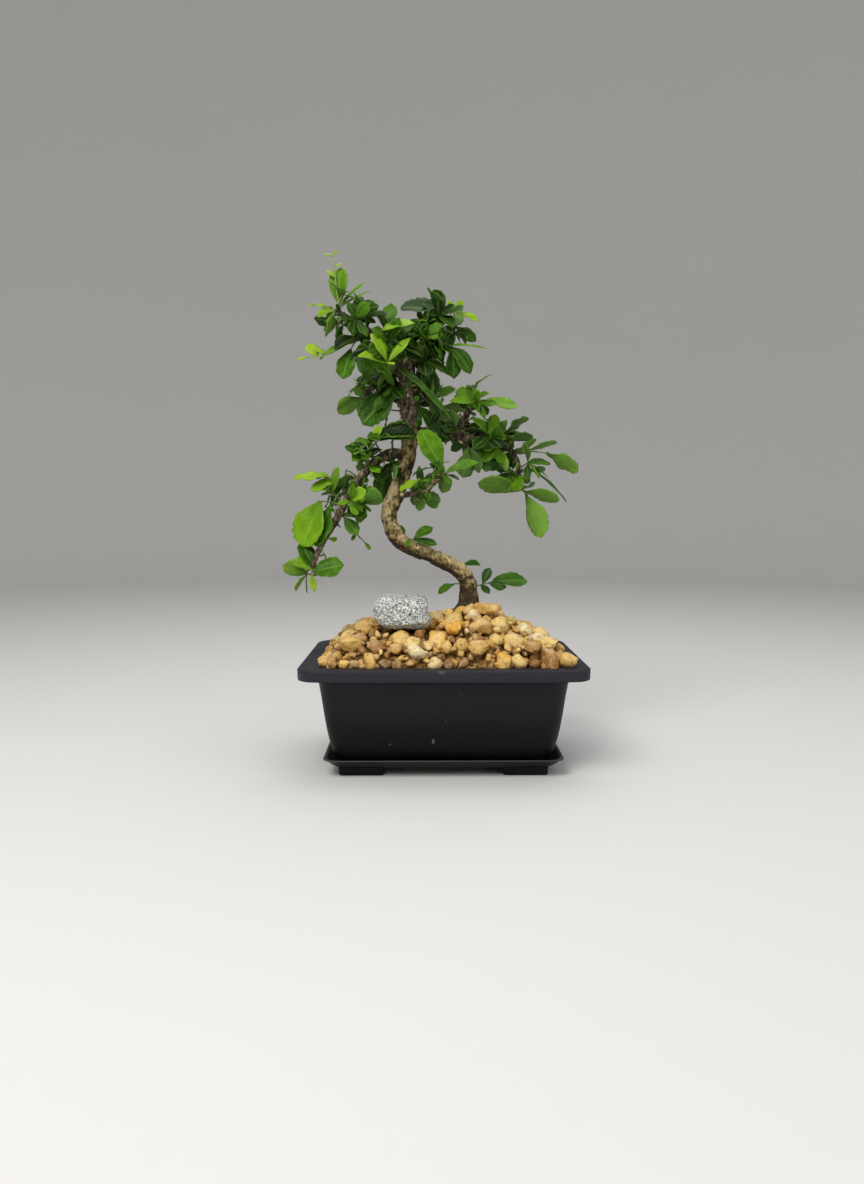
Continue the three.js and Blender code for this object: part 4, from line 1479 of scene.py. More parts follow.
class Limb(Enum):
    """The woody parts: x, y, height over the rim and radius of each point, in millimetres."""

    TRUNK = (
        (20, 6, 26, 10.0), (20, 6, 34, 9.4), (20, 6, 42, 7.6), (19.6, 6, 52, 6.7), (16, 5, 60, 6.5),
        (10, 4, 65, 6.1), (-7, 0, 74, 5.6), (-26, -3, 82, 6.0), (-35, -4, 90, 6.3), (-40, -3, 104, 5.9),
        (-38, -2, 113, 6.7), (-34, 0, 122, 6.5), (-29, 3, 137, 6.0), (-25, 5, 155, 6.3), (-24, 6, 176, 6.7),
        (-27, 5, 196, 6.4), (-25, 4, 213, 5.0), (-30, 1, 226, 3.0),
    )
    LEFT = (
        (-27, 4, 148, 4.2), (-35, -2, 151, 4.0), (-45, -8, 147, 3.7), (-54, -14, 139, 3.4),
        (-64, -20, 126, 3.1), (-73, -26, 109, 2.9), (-80, -29, 96, 2.5), (-87, -32, 83, 2.1),
        (-92, -33, 71, 1.7), (-91, -34, 62, 1.3),
    )
    RIGHT = (
        (-24, 5, 168, 4.4), (-9, 10, 166, 4.0), (9, 16, 165, 3.7), (31, 20, 161, 3.1),
        (48, 22, 158, 2.6), (57, 22, 148, 2.1), (61, 20, 124, 1.5),
    )
    FORK = ((9, 16, 165, 3.2), (16, 14, 174, 2.8), (20, 12, 183, 2.4), (27, 10, 190, 1.7))
    CROWN_LEFT = (
        (-27, 5, 200, 4.0), (-35, -3, 219, 3.6), (-48, -8, 233, 3.2), (-61, -10, 242, 2.9),
        (-71, -10, 248, 2.3), (-77, -10, 253, 1.7),
    )
    CROWN_RIGHT = (
        (-25, 4, 213, 3.5), (-17, 8, 228, 2.9), (-8, 12, 241, 2.3), (0, 13, 248, 1.9), (8, 12, 252, 1.4),
    )
    SPUR = (
        (-31, -3, 119, 2.4), (-21, -13, 121, 2.0), (-12, -18, 123, 1.8), (-4, -22, 130, 1.5),
        (0, -24, 134, 1.2),
    )
    BACK = ((-24, 6, 184, 3.2), (-19, 20, 191, 2.6), (-10, 33, 194, 2.0), (0, 44, 190, 1.4))
    BACK_LEFT = ((-27, 6, 196, 3.0), (-38, 18, 205, 2.4), (-50, 29, 205, 1.9), (-60, 37, 197, 1.3))


@dataclass
class Skeleton:
    """Smooth centrelines through the limbs' points."""

    rim: float
    lines: dict[Limb, list[tuple[Vector, float]]] = field(default_factory=dict)

    def __post_init__(self) -> None:
        """Runs a curve through every limb."""
        for limb in Limb:
            points = [
                (Vector((x * MM, y * MM, self.rim + z * MM)), r * MM) for x, y, z, r in limb.value
            ]
            self.lines[limb] = self.smooth(points)

    @staticmethod
    def smooth(points: list[tuple[Vector, float]], steps: int = 8) -> list[tuple[Vector, float]]:
        """A curve through points, each with a radius.

        Args:
            points: places, each with a radius.
            steps: how many points each stretch gets.

        Returns:
            The curve's points.
        """
        first = (2 * points[0][0] - points[1][0], points[0][1])
        last = (2 * points[-1][0] - points[-2][0], points[-1][1])
        held = [first, *points, last]
        made = []
        for i in range(1, len(held) - 2):
            a, b, c, d = (held[i + k][0] for k in (-1, 0, 1, 2))
            for k in range(steps):
                t = k / steps
                place = 0.5 * (
                    2 * b + (c - a) * t + (2 * a - 5 * b + 4 * c - d) * t * t
                    + (3 * b - a - 3 * c + d) * t**3
                )
                made.append((place, held[i][1] * (1 - t) + held[i + 1][1] * t))
        made.append(points[-1])
        return made

    def at(self, limb: Limb, share: float) -> tuple[Vector, Vector, float]:
        """The place, direction and radius at a share of a limb's length.

        Args:
            limb: the limb.
            share: how far along it, from 0 to 1.

        Returns:
            The place, the direction and the radius.
        """
        line = self.lines[limb]
        lengths = [0.0]
        for (a, _), (b, _) in zip(line, line[1:]):
            lengths.append(lengths[-1] + (b - a).length)
        goal = min(max(share, 0.0), 1.0) * lengths[-1]
        i = 0
        while i < len(line) - 2 and lengths[i + 1] < goal:
            i += 1
        part = (goal - lengths[i]) / max(lengths[i + 1] - lengths[i], 1e-9)
        place = line[i][0].lerp(line[i + 1][0], part)
        way = (line[i + 1][0] - line[i][0]).normalized()
        return place, way, line[i][1] * (1 - part) + line[i + 1][1] * part


def heading(turn: float, climb: float) -> Vector:
    """A direction from a heading, 0 along +X and 90 along +Y, and a climb, both in degrees."""
    a, e = math.radians(turn), math.radians(climb)
    return Vector((math.cos(a) * math.cos(e), math.sin(a) * math.cos(e), math.sin(e)))


def sideways(way: Vector, rng: random.Random) -> Vector:
    """A direction square to another, turned about it by chance.

    Args:
        way: the direction it is square to.
        rng: where the turn comes from.

    Returns:
        The direction, of length one.
    """
    side = way.orthogonal().normalized()
    side.rotate(Matrix.Rotation(rng.uniform(0, TURN), 3, way))
    return side


def jitter(rng: random.Random, spread: float) -> Vector:
    """A small step in any direction."""
    return Vector([rng.gauss(0, spread) for _ in range(3)])


@dataclass
class Wood:
    """The trunk and its branches as one barky piece, with knots, a root flare and dead stubs."""

    skeleton: Skeleton
    voxel: float = 0.85 * MM
    seed: int = 3
    hole_share: float = 0.618
    hole_faces: Point = (-0.42, -0.9, 0.1)
    hole_reach: float = 2.1 * MM
    hole_fade: float = 0.6 * MM
    branch_from: float = 2.5 * MM
    branch_fade: float = 4 * MM

    def build(self) -> bpy.types.Object:
        """Builds and dresses the wood.

        Returns:
            The piece.
        """
        parts = [Tool.tube(self.gnarled(limb), 3) for limb in Limb]
        parts += [self.knot(*spot) for spot in self.knots()]
        parts += self.roots()
        ring, middle = self.hollow()
        parts.append(ring)
        wood = Tool.join("tree_wood", parts)
        Tool.modify(wood, "REMESH", mode="VOXEL", voxel_size=self.voxel)
        Tool.modify(wood, "SMOOTH", factor=0.6, iterations=2)
        Tool.roughen(wood, "CLOUDS", 8 * MM, 2.2 * MM, 3)
        Tool.roughen(wood, "CLOUDS", 2.4 * MM, 1.0 * MM, 2)
        Tool.shade(wood)
        self.paint_guides(wood, middle)
        wood = Tool.join("tree_wood", [wood, *self.stubs()])
        Tool.dress(wood, BarkFinish().make())
        Tool.hand_in(wood, "bark", "trunk_and_branches")
        return wood

    def paint_guides(self, wood: bpy.types.Object, hole: Vector) -> None:
        """Writes where the bark finish darkens: painted shade in the old hole, and away from the trunk on
        the branches.

        Args:
            wood: the joined wood, before its stubs.
            hole: the middle of the healed hole.
        """
        points = Tool.points(wood)
        away = np.linalg.norm(points - np.array(hole), axis=1)
        # Painted shade inside the healed hole: darkest at its middle, fading out towards its ring.
        Tool.mark(wood, np.clip((self.hole_reach - away) / self.hole_fade, 0, 1), "scar")
        trunk = self.skeleton.lines[Limb.TRUNK]
        line = np.array([place for place, _ in trunk])
        core = np.array([radius for _, radius in trunk])
        gap = (np.linalg.norm(points[:, None, :] - line[None, :, :], axis=2) - core[None, :]).min(1)
        Tool.mark(wood, np.clip((gap - self.branch_from) / self.branch_fade, 0, 1), "branch")

    def gnarled(self, limb: Limb) -> list[tuple[Vector, float]]:
        """A limb's line with small swellings.

        Args:
            limb: the limb.

        Returns:
            Its places and radii.
        """
        made = []
        for k, (place, radius) in enumerate(self.skeleton.lines[limb]):
            swell = 1 + 0.035 * math.sin(k * 0.9 + len(limb.value)) + 0.02 * math.sin(k * 2.3)
            made.append((place, radius * swell))
        return made

    def knots(self) -> list[tuple[Limb, float, float, float]]:
        """Where the knots sit: limb, share, heading and size over the limb's radius.

        Returns:
            One row for each knot.
        """
        return [
            (Limb.TRUNK, 0.19, 300, 0.75), (Limb.TRUNK, 0.33, 70, 0.7), (Limb.TRUNK, 0.45, 250, 0.85),
            (Limb.TRUNK, 0.57, 330, 1.0), (Limb.TRUNK, 0.62, 200, 0.95), (Limb.TRUNK, 0.7, 290, 0.95),
            (Limb.TRUNK, 0.8, 240, 0.85), (Limb.TRUNK, 0.9, 320, 0.9), (Limb.LEFT, 0.22, 280, 1.1),
            (Limb.LEFT, 0.5, 200, 1.1), (Limb.LEFT, 0.72, 330, 1.1), (Limb.RIGHT, 0.35, 260, 1.1),
            (Limb.RIGHT, 0.6, 280, 1.2), (Limb.CROWN_LEFT, 0.55, 260, 1.15),
            (Limb.CROWN_LEFT, 0.8, 290, 1.3), (Limb.CROWN_RIGHT, 0.4, 300, 1.1), (Limb.SPUR, 0.5, 250, 1.2),
            (Limb.SPUR, 0.85, 300, 1.3), (Limb.FORK, 0.6, 260, 1.2),
        ]

    def knot(self, limb: Limb, share: float, turn: float, size: float) -> bpy.types.Object:
        """A ball half sunk in a limb.

        Args:
            limb: the limb.
            share: how far along it.
            turn: the side it faces, in degrees.
            size: its size over the limb's radius.

        Returns:
            The ball.
        """
        place, _, radius = self.skeleton.at(limb, share)
        Tool.deselect()
        bpy.ops.mesh.primitive_ico_sphere_add(
            subdivisions=3, radius=radius * size * 0.6, location=place + heading(turn, 12) * radius * 0.55
        )
        made = Tool.active()
        Tool.settle(made)
        return made

    def hollow(self) -> tuple[bpy.types.Object, Vector]:
        """The healed ring round an old branch's hole.

        Returns:
            The ring, and the middle of the hole.
        """
        place, _, radius = self.skeleton.at(Limb.TRUNK, self.hole_share)
        faces = Vector(self.hole_faces)
        middle = place + faces.normalized() * radius * 1.02
        Tool.deselect()
        bpy.ops.mesh.primitive_torus_add(
            major_radius=2.4 * MM, minor_radius=1.0 * MM, location=middle,
            rotation=faces.to_track_quat("Z", "Y").to_euler(),
        )
        made = Tool.active()
        Tool.settle(made)
        return made, middle

    def roots(self) -> list[bpy.types.Object]:
        """The flare where the trunk meets the gravel.

        Returns:
            The roots.
        """
        foot = self.skeleton.lines[Limb.TRUNK][6][0]
        made = []
        for turn, reach in ((5, 15), (70, 14), (130, 15), (190, 17), (250, 15), (310, 14)):
            out = heading(turn, 0) * reach * MM
            made.append(
                Tool.tube(
                    [
                        (foot + Vector((0, 0, 7 * MM)) + out * 0.18, 3.4 * MM),
                        (foot + Vector((0, 0, 0.5 * MM)) + out * 0.5, 3.4 * MM),
                        (foot - Vector((0, 0, 8 * MM)) + out, 2.2 * MM),
                    ],
                    3,
                )
            )
        return made

    def stubs(self) -> list[bpy.types.Object]:
        """Short dead twigs left by old pruning.

        Returns:
            The stubs.
        """
        rng = random.Random(self.seed)
        made = []
        for limb, count in (
            (Limb.TRUNK, 9), (Limb.LEFT, 12), (Limb.RIGHT, 12), (Limb.FORK, 5), (Limb.CROWN_LEFT, 10),
            (Limb.CROWN_RIGHT, 8), (Limb.SPUR, 7), (Limb.BACK, 6), (Limb.BACK_LEFT, 6),
        ):
            for _ in range(count):
                share = rng.uniform(0.72, 0.98) if limb is Limb.TRUNK else rng.uniform(0.12, 0.97)
                place, way, radius = self.skeleton.at(limb, share)
                side = sideways(way, rng)
                long = rng.uniform(2.5, 6.5) * MM
                tip = place + (side + way * rng.uniform(0.1, 0.7)).normalized() * (radius + long)
                bend = place.lerp(tip, 0.6) + Vector([rng.gauss(0, 0.6) * MM for _ in range(3)])
                stub = Tool.tube([(place, 0.75 * MM), (bend, 0.6 * MM), (tip, 0.42 * MM)], 1)
                Tool.shade(stub)
                made.append(stub)
        return made


class Kind(Enum):
    """Leaf outlines: width over length, where it is widest, how full it is, and how deep its teeth are."""

    BROAD = (0.56, 1.5, 0.6, 0.1)
    ROUND = (0.78, 1.35, 0.5, 0.12)
    NARROW = (0.36, 1.3, 0.8, 0.06)
    BLADE = (0.1, 0.75, 0.6, 0.0)


B, R, N, W = Kind.BROAD, Kind.ROUND, Kind.NARROW, Kind.BLADE


@dataclass(frozen=True)
class Sprig:
    """A twig and its leaves, each (share of the twig, heading, climb, length, kind, tone)."""

    name: str
    limb: Limb
    along: float
    turn: float
    climb: float
    bend: float
    length: float
    tone: float
    leaves: tuple[tuple, ...]
    extra: int = 7


class Fold(Enum):
    """How a leaf's blade is held: cup of its edges, fall of its tip and wave of its edge."""

    FLAT = (0.05, 0.1, 0.01)
    CUPPED = (0.2, 0.12, 0.015)
    FOLDED = (0.42, 0.06, 0.01)
    CURLED = (0.1, 0.34, 0.02)
    WAVY = (0.08, 0.14, 0.05)


@dataclass
class LeafPress:
    """Leaf shapes, one for each outline and fold, that sprigs copy."""

    masters: dict[tuple[Kind, Fold, bool], bpy.types.Object] = field(default_factory=dict)
    small: float = 23 * MM

    def shape(self, kind: Kind, fold: Fold, fine: bool) -> bpy.types.Object:
        """A leaf one metre long and wide, lying along +Y and facing up.

        Args:
            kind: its outline.
            fold: how its blade is held.
            fine: whether it is one of the large leaves, with more faces.

        Returns:
            The leaf.
        """
        Tool.deselect()
        columns, rows = (6, 14) if fine else (4, 8)
        bpy.ops.mesh.primitive_grid_add(x_subdivisions=columns, y_subdivisions=rows, size=1)
        leaf = Tool.active()
        _, widest, full, teeth = kind.value
        cup, fall, wave = fold.value
        points = Tool.points(leaf)
        for point in points:
            s, t = point[0] * 2, point[1] + 0.5
            row = round(t * rows)
            t = 1 - (1 - t) ** 1.22
            u = max(0.0, (t - 0.05) / 0.95)
            half = 0.06 + 0.94 * max(0.0, math.sin(math.pi * min(u, 1.0) ** widest)) ** full
            bite = teeth * (row % 2) * min(max((t - 0.42) * 3, 0.0), 1.0)
            half *= 1 - bite * (abs(s) > 0.9)
            rib = -0.02 * math.exp(-((s / 0.25) ** 2)) * min(1.0, 3 * (1 - t))
            pucker = 0.014 * math.sin(t * 30 - abs(s) * 5) * abs(s) * (1 - t)
            edge = wave * math.sin(t * 13 + s * 2) * abs(s)
            point[0] = 0.5 * s * half
            point[1] = t - 0.03 * abs(s) * bite * 4
            point[2] = cup * 0.4 * (abs(s) * half) ** 1.6 + rib + pucker + edge - fall * t * t
        Tool.reshape(leaf, points)
        Tool.shade(leaf)
        return leaf

    def leaf(
        self, base: Vector, along: Vector, face: Vector, length: float, kind: Kind, tone: float,
        rng: random.Random,
    ) -> bpy.types.Object:
        """A leaf at a place.

        Args:
            base: where its stalk starts.
            along: the way it points.
            face: the way its upper side looks.
            length: its length.
            kind: its outline.
            tone: its green.
            rng: where its small differences come from.

        Returns:
            The leaf.
        """
        fold = rng.choice(list(Fold)) if kind is not Kind.BLADE else Fold.CURLED
        fine = length > self.small or kind is Kind.BLADE
        if (kind, fold, fine) not in self.masters:
            self.masters[kind, fold, fine] = self.shape(kind, fold, fine)
        master = self.masters[kind, fold, fine]
        side = along.cross(face)
        if side.length < 0.05:
            side = along.cross(Vector((1, 0, 0)))
        side.normalize()
        side.rotate(Matrix.Rotation(rng.gauss(0, 0.16), 3, along))
        up = side.cross(along).normalized()
        width = kind.value[0]
        points = Tool.points(master)
        place = (
            np.array(base)
            + np.outer(points[:, 1] * length, np.array(along))
            + np.outer(points[:, 0] * length * width, np.array(side))
            + np.outer(points[:, 2] * length * (0.55 if kind is Kind.BLADE else 1.0), np.array(up))
        )
        made = Tool.copy(master, place)
        Tool.mark(made, tone + rng.uniform(-0.09, 0.09))
        return made


# Each leaf's last number and each sprig's tone set its green; the very low tones of the sprigs deep in the
# crown, such as crown_inner, mid_dark and right_dark, are partly leaf colour and partly painted shade.
SPRIGS = (
    Sprig("top_leader", Limb.CROWN_LEFT, 0.95, 170, 80, 6, 40, 0.85, (
        (0.12, 120, 88, 28, B, 0.62), (0.1, 5, 52, 28, W, 0.7), (0.08, 355, 38, 25, W, 0.7),
        (0.62, 165, 45, 9, B, 1.0), (0.8, 10, 45, 7, N, 1.0), (1, 180, 20, 7, B, 1.0),
        (1, 20, 60, 6, N, 1.0)), 4),
    Sprig("top_left_tuft", Limb.CROWN_LEFT, 0.99, 185, 20, 0, 4, 0.75, (
        (1, 180, 15, 17, N, 0.85), (0.7, 190, -27, 13, B, 0.8), (0.2, 185, -40, 12, B, 0.7)), 5),
    Sprig("top_mid", Limb.CROWN_LEFT, 0.8, 20, 80, 0, 9, 0.25, (
        (0.9, 60, 62, 14, B, 0.25), (1, 15, 35, 15, B, 0.2), (0.8, 330, 20, 10, B, 0.3))),
    Sprig("left_pointer", Limb.CROWN_LEFT, 0.74, 190, -66, 66, 46, 0.85, (
        (0.4, 188, -12, 19, B, 0.62), (0.85, 160, 50, 13, R, 0.95), (0.7, 185, 25, 10, B, 0.9),
        (1, 185, -8, 9, N, 1.0)), 4),
    Sprig("left_drop", Limb.CROWN_LEFT, 0.7, 195, -60, 0, 18, 0.3, (
        (1, 200, -70, 22, R, 0.45), (0.35, 200, -30, 21, B, 0.1), (0.4, 340, -45, 14, B, 0.15)), 6),
    Sprig("crown_peak", Limb.CROWN_LEFT, 0.38, 100, 80, 0, 15, 0.3, (
        (1, 60, 84, 21, B, 0.35), (0.8, 190, 62, 17, B, 0.3), (0.7, 10, 30, 20, B, 0.3)), 10),
    Sprig("crown_rosette", Limb.CROWN_LEFT, 0.22, 252, -5, 0, 24, 0.7, (
        (0.95, 235, 66, 22, B, 0.8), (1, 352, 50, 24, N, 0.76), (1, 183, 16, 21, B, 0.8),
        (0.9, 188, 46, 18, B, 0.3), (0.35, 338, -35, 58, W, 0.35), (1, 300, 4, 9, B, 1.0)), 5),
    Sprig("crown_yellow", Limb.CROWN_LEFT, 0.3, 246, 30, 10, 27, 0.6, (
        (1, 5, 20, 25, R, 0.78), (0.6, 330, -20, 15, B, 0.3)), 5),
    Sprig("crown_cap", Limb.CROWN_RIGHT, 0.9, 200, 66, 0, 9, 0.15, (
        (1, 178, 8, 31, R, 0.12), (0.4, 172, 34, 20, R, 0.12), (0.5, 200, -26, 24, B, 0.2),
        (0.9, 235, 34, 22, R, 0.25), (0.6, 300, 0, 22, R, 0.3)), 10),
    Sprig("crown_star", Limb.CROWN_RIGHT, 1.0, 10, 30, 0, 6, 0.8, (
        (0.6, 20, 72, 12, B, 0.85), (1, 0, -16, 15, B, 0.9), (0.3, 150, 64, 14, N, 0.85),
        (1, 30, 30, 8, N, 1.0)), 4),
    Sprig("crown_veil", Limb.CROWN_RIGHT, 0.55, 260, 20, 0, 4, 0.3, (
        (1, 183, 12, 46, W, 0.35), (1, 190, -20, 24, B, 0.3), (0.5, 350, -60, 22, B, 0.2)), 12),
    Sprig("crown_wing", Limb.CROWN_RIGHT, 0.66, 335, -50, 20, 20, 0.4, (
        (0.9, 352, 3, 28, W, 0.6), (0.6, 110, 64, 17, B, 0.55), (1, 348, -40, 23, R, 0.4),
        (1, 300, -74, 22, B, 0.25)), 10),
    Sprig("crown_inner", Limb.CROWN_RIGHT, 0.2, 310, -25, 0, 10, 0.12, (
        (1, 320, -62, 26, B, 0.18), (0.6, 350, -12, 24, B, 0.1), (1, 280, -35, 20, B, 0.15)), 14),
    Sprig("mid_left", Limb.TRUNK, 0.88, 190, 4, -20, 9, 0.3, (
        (1, 186, -44, 35, R, 0.32), (0.5, 168, -16, 31, B, 0.5)), 9),
    Sprig("mid_dark", Limb.TRUNK, 0.84, 340, -20, 0, 8, 0.1, (
        (1, 350, -50, 28, B, 0.12), (0.7, 20, 0, 26, B, 0.08), (0.5, 300, -70, 20, B, 0.2)), 12),
    Sprig("left_shoulder", Limb.LEFT, 0.17, 200, 60, 0, 16, 0.35, (
        (1, 356, 4, 32, R, 0.06), (0.9, 186, -16, 20, R, 0.42), (0.8, 40, 66, 13, B, 0.8),
        (0.3, 188, -16, 18, B, 0.3)), 10),
    Sprig("left_reach", Limb.LEFT, 0.4, 192, 12, -4, 22, 0.7, (
        (1, 182, 4, 24, N, 0.9), (0.5, 186, -14, 24, B, 0.7), (0.3, 195, -36, 20, B, 0.55),
        (0.9, 150, 12, 16, B, 0.8)), 12),
    Sprig("left_drape", Limb.LEFT, 0.56, 192, 16, -10, 17, 0.55, (
        (1, 196, -64, 35, R, 0.6), (0.5, 215, -60, 33, B, 0.45), (0.9, 140, -20, 16, B, 0.5)), 11),
    Sprig("left_dangle", Limb.LEFT, 0.6, 350, -60, 18, 28, 0.4, (
        (0.1, 355, 6, 16, R, 0.42), (0.15, 320, -40, 18, B, 0.42), (1, 0, -50, 7, B, 0.5),
        (0.7, 200, -50, 6, B, 0.4)), 3),
    Sprig("left_tip", Limb.LEFT, 0.96, 230, -40, 0, 4, 0.55, (
        (0.3, 178, 24, 17, R, 0.75), (0.8, 350, 16, 23, R, 0.42), (1, 330, -80, 14, N, 0.8),
        (0.2, 150, 62, 23, B, 0.35)), 4),
    Sprig("upper_bend", Limb.TRUNK, 0.65, 160, 0, 0, 12, 0.2, (
        (1, 192, -66, 31, B, 0.2), (0.8, 120, -20, 24, B, 0.25)), 4),
    Sprig("fork_tip", Limb.FORK, 1.0, 350, 20, 0, 3, 0.5, (
        (1, 358, -6, 27, B, 0.6), (0.5, 150, 50, 11, B, 0.6), (0.2, 320, -50, 13, B, 0.3)), 9),
    Sprig("right_upper", Limb.RIGHT, 0.63, 30, 62, 0, 9, 0.3, (
        (1, 15, 40, 22, B, 0.2), (0.8, 340, 10, 14, B, 0.6), (0.6, 150, 50, 16, B, 0.3)), 10),
    Sprig("right_reach", Limb.RIGHT, 0.74, 12, 10, -20, 27, 0.6, (
        (0.15, 20, 38, 18, B, 0.75), (0.4, 8, 22, 25, B, 0.55), (1, 2, -24, 28, B, 0.65)), 8),
    Sprig("right_ribbon", Limb.RIGHT, 0.87, 0, 14, -30, 12, 0.45, (
        (1, 352, -34, 34, W, 0.35), (0.6, 30, 6, 16, B, 0.4)), 7),
    Sprig("right_under", Limb.RIGHT, 0.56, 285, -40, 0, 5, 0.4, (
        (1, 338, -50, 23, B, 0.78), (0.8, 200, -76, 21, B, 0.3), (0.3, 190, -30, 20, R, 0.15)), 11),
    Sprig("right_dark", Limb.RIGHT, 0.4, 280, -60, 0, 13, 0.12, (
        (1, 200, -72, 20, R, 0.0), (0.6, 340, -60, 22, B, 0.15)), 11),
    Sprig("right_tip", Limb.RIGHT, 0.98, 320, -50, 0, 7, 0.5, (
        (0.5, 186, 13, 36, B, 0.42), (0.6, 354, -10, 28, B, 0.68), (1, 333, -64, 36, B, 0.6),
        (0.3, 60, 10, 20, B, 0.5)), 3),
    Sprig("spur_diamond", Limb.SPUR, 0.97, 300, 60, 0, 3, 0.4, (
        (1, 190, 64, 34, B, 0.52), (0.6, 352, 22, 27, N, 0.55), (0.4, 330, -40, 10, B, 0.4)), 5),
    Sprig("spur_low", Limb.SPUR, 0.45, 280, 70, 0, 10, 0.6, (
        (1, 188, -22, 17, B, 0.95), (0.8, 340, 20, 9, B, 0.5)), 5),
    Sprig("trunk_tuft", Limb.TRUNK, 0.385, 335, 2, 0, 12, 0.4, (
        (0.4, 140, 58, 13, B, 0.35), (1, 8, 42, 17, B, 0.42), (0.9, 352, -7, 19, B, 0.35),
        (0.4, 300, -30, 9, B, 0.5)), 0),
    Sprig("bend_tuft", Limb.TRUNK, 0.165, 78, 24, 0, 9, 0.3, (
        (1, 5, 2, 15, B, 0.35), (0.9, 172, 14, 13, B, 0.25)), 0),
    Sprig("base_right", Limb.TRUNK, 0.1, 345, 14, 0, 16, 0.35, (
        (1, 358, 16, 29, B, 0.42), (0.7, 20, 66, 14, B, 0.25), (1, 335, -10, 14, B, 0.3),
        (0.6, 300, -14, 11, B, 0.25)), 0),
    Sprig("base_left", Limb.TRUNK, 0.115, 215, 0, 0, 12, 0.3, ((1, 186, -16, 14, B, 0.4),), 0),
    Sprig("crown_back", Limb.CROWN_RIGHT, 0.5, 100, 30, 0, 7, 0.35, (
        (1, 90, 20, 26, B, 0.5), (0.8, 135, 50, 22, B, 0.4), (0.8, 45, -30, 24, B, 0.25)), 12),
    Sprig("crown_left_back", Limb.CROWN_LEFT, 0.45, 100, 20, 0, 6, 0.3, (
        (1, 110, 10, 24, B, 0.4), (0.8, 150, -35, 22, B, 0.3), (0.8, 60, 30, 20, B, 0.5)), 12),
    Sprig("back_mid", Limb.BACK, 0.5, 70, 40, 0, 6, 0.35, (
        (1, 60, 24, 26, B, 0.5), (0.8, 120, 44, 24, B, 0.35), (0.5, 215, -24, 20, B, 0.2)), 12),
    Sprig("back_tip", Limb.BACK, 1.0, 70, -10, 0, 4, 0.5, (
        (1, 62, -30, 25, B, 0.5), (0.8, 118, -24, 23, B, 0.6), (0.6, 15, 10, 22, R, 0.4)), 5),
    Sprig("back_left_mid", Limb.BACK_LEFT, 0.55, 120, 60, 0, 6, 0.35, (
        (1, 110, 30, 24, B, 0.5), (0.8, 185, 30, 22, B, 0.4), (0.5, 60, -24, 22, B, 0.2)), 12),
    Sprig("back_left_tip", Limb.BACK_LEFT, 1.0, 150, -10, 0, 4, 0.5, (
        (1, 145, -24, 24, B, 0.6), (0.8, 190, -26, 22, B, 0.5), (0.6, 90, -30, 24, B, 0.5)), 6),
    Sprig("right_back", Limb.RIGHT, 0.5, 90, 24, 0, 7, 0.35, (
        (1, 84, 8, 26, B, 0.45), (0.8, 128, -26, 22, B, 0.4), (0.7, 40, -30, 22, B, 0.3)), 13),
    Sprig("mid_back", Limb.TRUNK, 0.78, 95, 12, 0, 8, 0.3, (
        (1, 100, -26, 27, B, 0.4), (0.8, 55, -48, 23, B, 0.3), (0.8, 150, -40, 25, B, 0.3)), 10),
)

YOUNG_NODES = {
    "top_leader", "top_left_tuft", "left_pointer", "crown_rosette", "crown_yellow", "crown_star",
    "left_reach", "left_tip", "right_reach", "spur_low",
}


